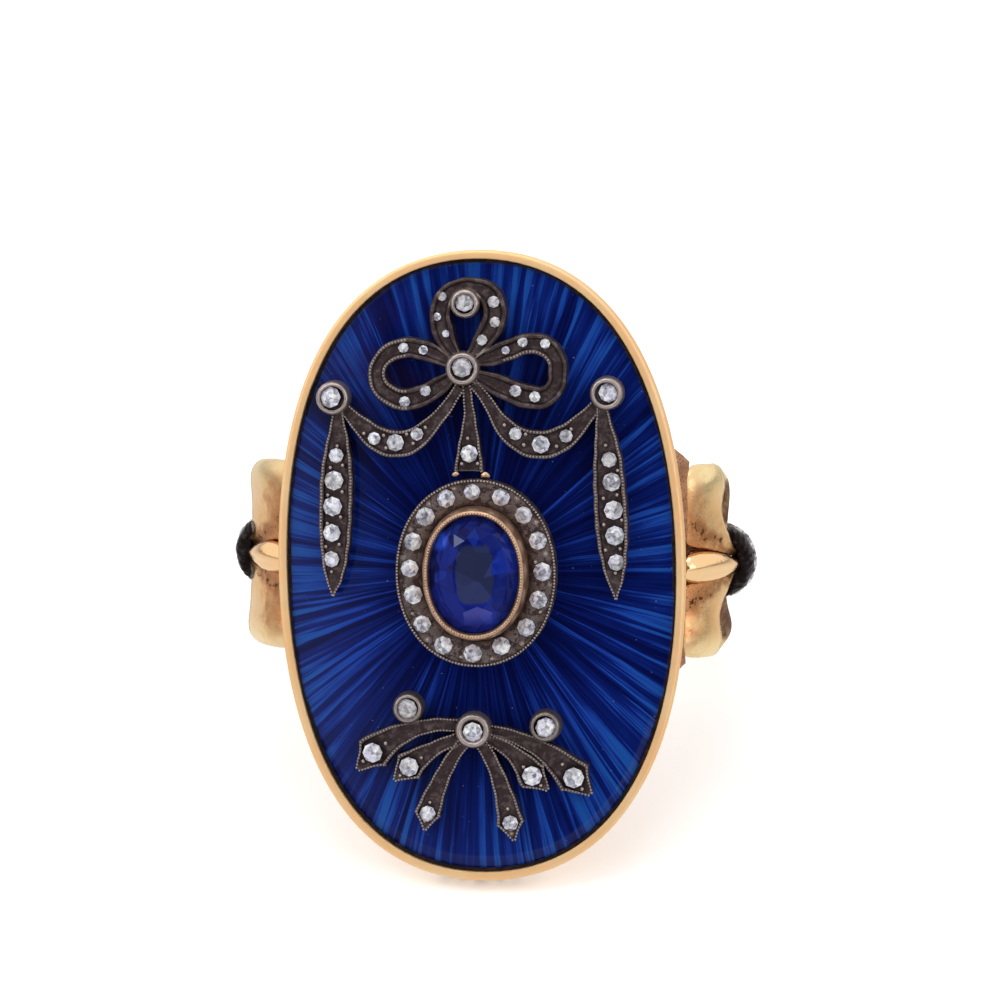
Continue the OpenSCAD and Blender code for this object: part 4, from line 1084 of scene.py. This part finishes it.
def beads(lines, name, finish, radius=0.066, pitch=None):
    """Sets beads along the piece's lines at a pitch, the milgrain's by default, or at 0 on its points."""
    if pitch is None:
        pitch = mm("milgrain_pitch")
    tree = bpy.data.node_groups.new("beads", "GeometryNodeTree")
    for way in ("INPUT", "OUTPUT"):
        tree.interface.new_socket("Geometry", in_out=way, socket_type="NodeSocketGeometry")
    nodes = Nodes(tree)
    points = nodes.node("NodeGroupInput")
    if pitch:
        sewn(lines)
        curve = nodes.node("GeometryNodeMeshToCurve", {}, {"Mesh": points})
        points = nodes.node("GeometryNodeResampleCurve", {"mode": "LENGTH"},
                            {"Curve": curve, "Length": pitch})
    bead = nodes.node("GeometryNodeMeshIcoSphere", {}, {"Radius": radius, "Subdivisions": 1})
    row = nodes.node("GeometryNodeInstanceOnPoints", {}, {"Points": points, "Instance": bead})
    real = nodes.node("GeometryNodeRealizeInstances", {}, {"Geometry": row})
    nodes.feed(real, tree.nodes.new("NodeGroupOutput").inputs[0])
    modify(lines, "NODES", node_group=tree)
    bpy.data.node_groups.remove(tree)
    finished(lines, name, finish, soft=180)


def grains(places, name, height, radius=0.11):
    """Sets single grains of silver beside the stones."""
    points = drawn([(x, y, dome(x, y) + height) for x, y in places])
    beads(points, name, silver_finish(name + "_silver", 0.55), radius, 0)


class RING_OT_stones(bpy.types.Operator):
    """Gives the sapphire and the diamonds their looks"""
    bl_idname = "ring.stones"
    bl_label = "Stones"

    def execute(self, context):
        diamond, sapphire = diamond_finish(), sapphire_finish()
        for name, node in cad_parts.items():
            if "diamond" in name or name == "sapphire":
                node.data.materials.clear()
                node.data.materials.append(sapphire if name == "sapphire" else diamond)
        return {"FINISHED"}


class RING_OT_knots(bpy.types.Operator):
    """Wraps a rough silver crescent round each shoulder's neck and sets its stones in rings"""
    bl_idname = "ring.knots"
    bl_label = "Silver knots"

    def execute(self, context):
        def crescent_place(turn, t):
            angle = math.radians(-84 + 168 * t)
            end = math.sqrt(1 - (2 * t - 1) ** 6)
            thick = 0.1 + 0.32 * end * math.cos(angle) ** 0.6
            x, y = math.cos(turn), math.sin(turn)
            rough = 0.05 * math.sin(17 * angle + 3 * y) * math.sin(5 * turn + 9 * angle)
            out = 1.76 - thick + thick * math.copysign(abs(x) ** 0.5, x) + rough
            up = (1.1 + 0.18 * end) * math.copysign(abs(y) ** 0.4, y)
            return Vector((out * math.cos(angle), out * math.sin(angle), up + rough))

        for side, name in ((1, "right"), (-1, "left")):
            crescent = sleeve(90, 32, crescent_place)
            parts = [shape(crescent, lambda: bpy.ops.mesh.fill_holes(sides=40))]
            for turn in [math.radians(degrees) for degrees in KNOT_STONES]:
                ring = turned([(0.49, -0.25), (0.49, 0.0), (0.46, 0.05), (0.43, 0.05), (0.4, 0.0),
                               (0.38, -0.25)], 16)
                parts.append(applied(ring, rotation_euler=(0, math.radians(90), turn),
                                     location=(1.74 * math.cos(turn), 1.74 * math.sin(turn), 0)))
            applied(joined(parts), rotation_euler=(0, math.radians(KNOT_LEAN), 0), location=KNOT_PLACE)
            finish = silver_finish(name + "_knot_silver", -0.1, 0.25)
            finished(mirrored(crescent, side), name + "_silver_knot", finish, name + "_knot",
                     on_plate=False)
        return {"FINISHED"}


class RING_OT_stage(bpy.types.Operator):
    """Sets up the floor, the light and the camera"""
    bl_idname = "ring.stage"
    bl_label = "Stage"

    def execute(self, context):
        scene, stage = context.scene, context.scene.ring_stage
        floor = start(bpy.ops.mesh.primitive_plane_add, size=6)
        floor.name = "floor"
        paint = Finish("pale_floor", False, base_color=(0.93, 0.93, 0.93, 1), roughness=0.9,
                       specular_ior_level=0.1, emission_color=(1, 1, 1, 1), emission_strength=0.25)
        # In the metal's reflections the floor darkens to both sides
        fade = abs(paint.x).rise(20, 120, 0.9, 0.3, "LINEAR")
        mirror = paint.node("ShaderNodeEmission", {}, {"Color": fade})
        glossy = paint.node("ShaderNodeLightPath", out="Is Glossy Ray")
        seen = Value(paint, paint.shader.outputs[0])
        mix = paint.node("ShaderNodeMixShader", {}, {0: glossy, 1: seen, 2: mirror})
        paint.feed(mix, paint.tree.nodes["Material Output"].inputs["Surface"])
        floor.data.materials.append(paint.material)

        # White surroundings, dark where the camera looks in
        world = bpy.data.worlds.new("white_tent")
        scene.world = world
        world.use_nodes = True
        tent = Nodes(world.node_tree)
        background = world.node_tree.nodes["Background"]
        background.inputs["Strength"].default_value = stage.light
        way = tent.node("ShaderNodeTexCoord", out="Generated")
        facing = tent.node("ShaderNodeVectorMath", {"operation": "DOT_PRODUCT"},
                           {0: way, 1: Vector(OPENING).normalized()}, out="Value")
        tent.feed(facing.rise(0.88, 0.97, 1.0, 0.06), background.inputs["Color"])

        for name, place, size, power in LIGHTS:
            lamp = start(bpy.ops.object.light_add, type="AREA", location=place)
            lamp.name = name
            lamp.data.size = size
            lamp.data.energy = power
            lamp.rotation_mode = "QUATERNION"
            lamp.rotation_quaternion = (Vector(place) - Vector(RING_MIDDLE)).to_track_quat("Z", "Y")

        lay = laid(False).to_3x3().normalized()
        back = (lay @ Vector((math.tan(stage.lean_right), math.tan(stage.lean_up), 1))).normalized()
        up = lay @ Vector((0, 1, 0))
        up = Matrix.Rotation(stage.roll, 3, back) @ (up - back * up.dot(back)).normalized()
        camera = start(bpy.ops.object.camera_add)
        camera.name = "camera"
        turn = Matrix((up.cross(back), up, back)).transposed().to_4x4()
        camera.matrix_world = Matrix.Translation(laid(True) @ Vector(AIM) + back * stage.distance) @ turn
        camera.data.sensor_width = SENSOR
        camera.data.lens = SENSOR * stage.distance / stage.view_width
        camera.data.clip_start, camera.data.clip_end = 0.01, 20
        scene.camera = camera
        scene.view_settings.view_transform = "Standard"
        return {"FINISHED"}


class RING_PT_pieces(bpy.types.Panel):
    """Lists the ring's pieces and its stage"""
    bl_idname = "RING_PT_pieces"
    bl_label = "Sapphire ring"
    bl_space_type = "VIEW_3D"
    bl_region_type = "UI"
    bl_category = "Ring"

    def draw(self, context):
        for maker in OPERATORS:
            self.layout.operator(maker.bl_idname)


OPERATORS = (RING_OT_tray, RING_OT_hoop, RING_OT_gallery, RING_OT_shoulders, RING_OT_enamel, RING_OT_garland,
             RING_OT_spray, RING_OT_halo, RING_OT_knots, RING_OT_stones, RING_OT_stage)
CLASSES = (RingSizes, RingColours, RingStage) + OPERATORS + (RING_PT_pieces,)


def register():
    for kind in CLASSES:
        bpy.utils.register_class(kind)
    bpy.types.Scene.ring_sizes = bpy.props.PointerProperty(type=RingSizes)
    bpy.types.Scene.ring_colours = bpy.props.PointerProperty(type=RingColours)
    bpy.types.Scene.ring_stage = bpy.props.PointerProperty(type=RingStage)


def unregister():
    del bpy.types.Scene.ring_stage
    del bpy.types.Scene.ring_colours
    del bpy.types.Scene.ring_sizes
    for kind in reversed(CLASSES):
        bpy.utils.unregister_class(kind)


def main():
    register()
    bpy.ops.ring.tray()
    bpy.ops.ring.hoop()
    bpy.ops.ring.gallery()
    bpy.ops.ring.shoulders()
    bpy.ops.ring.enamel()
    bpy.ops.ring.garland()
    bpy.ops.ring.spray()
    bpy.ops.ring.halo()
    bpy.ops.ring.knots()
    bpy.ops.ring.stones()
    bpy.ops.ring.stage()


if __name__ == "__main__":
    main()
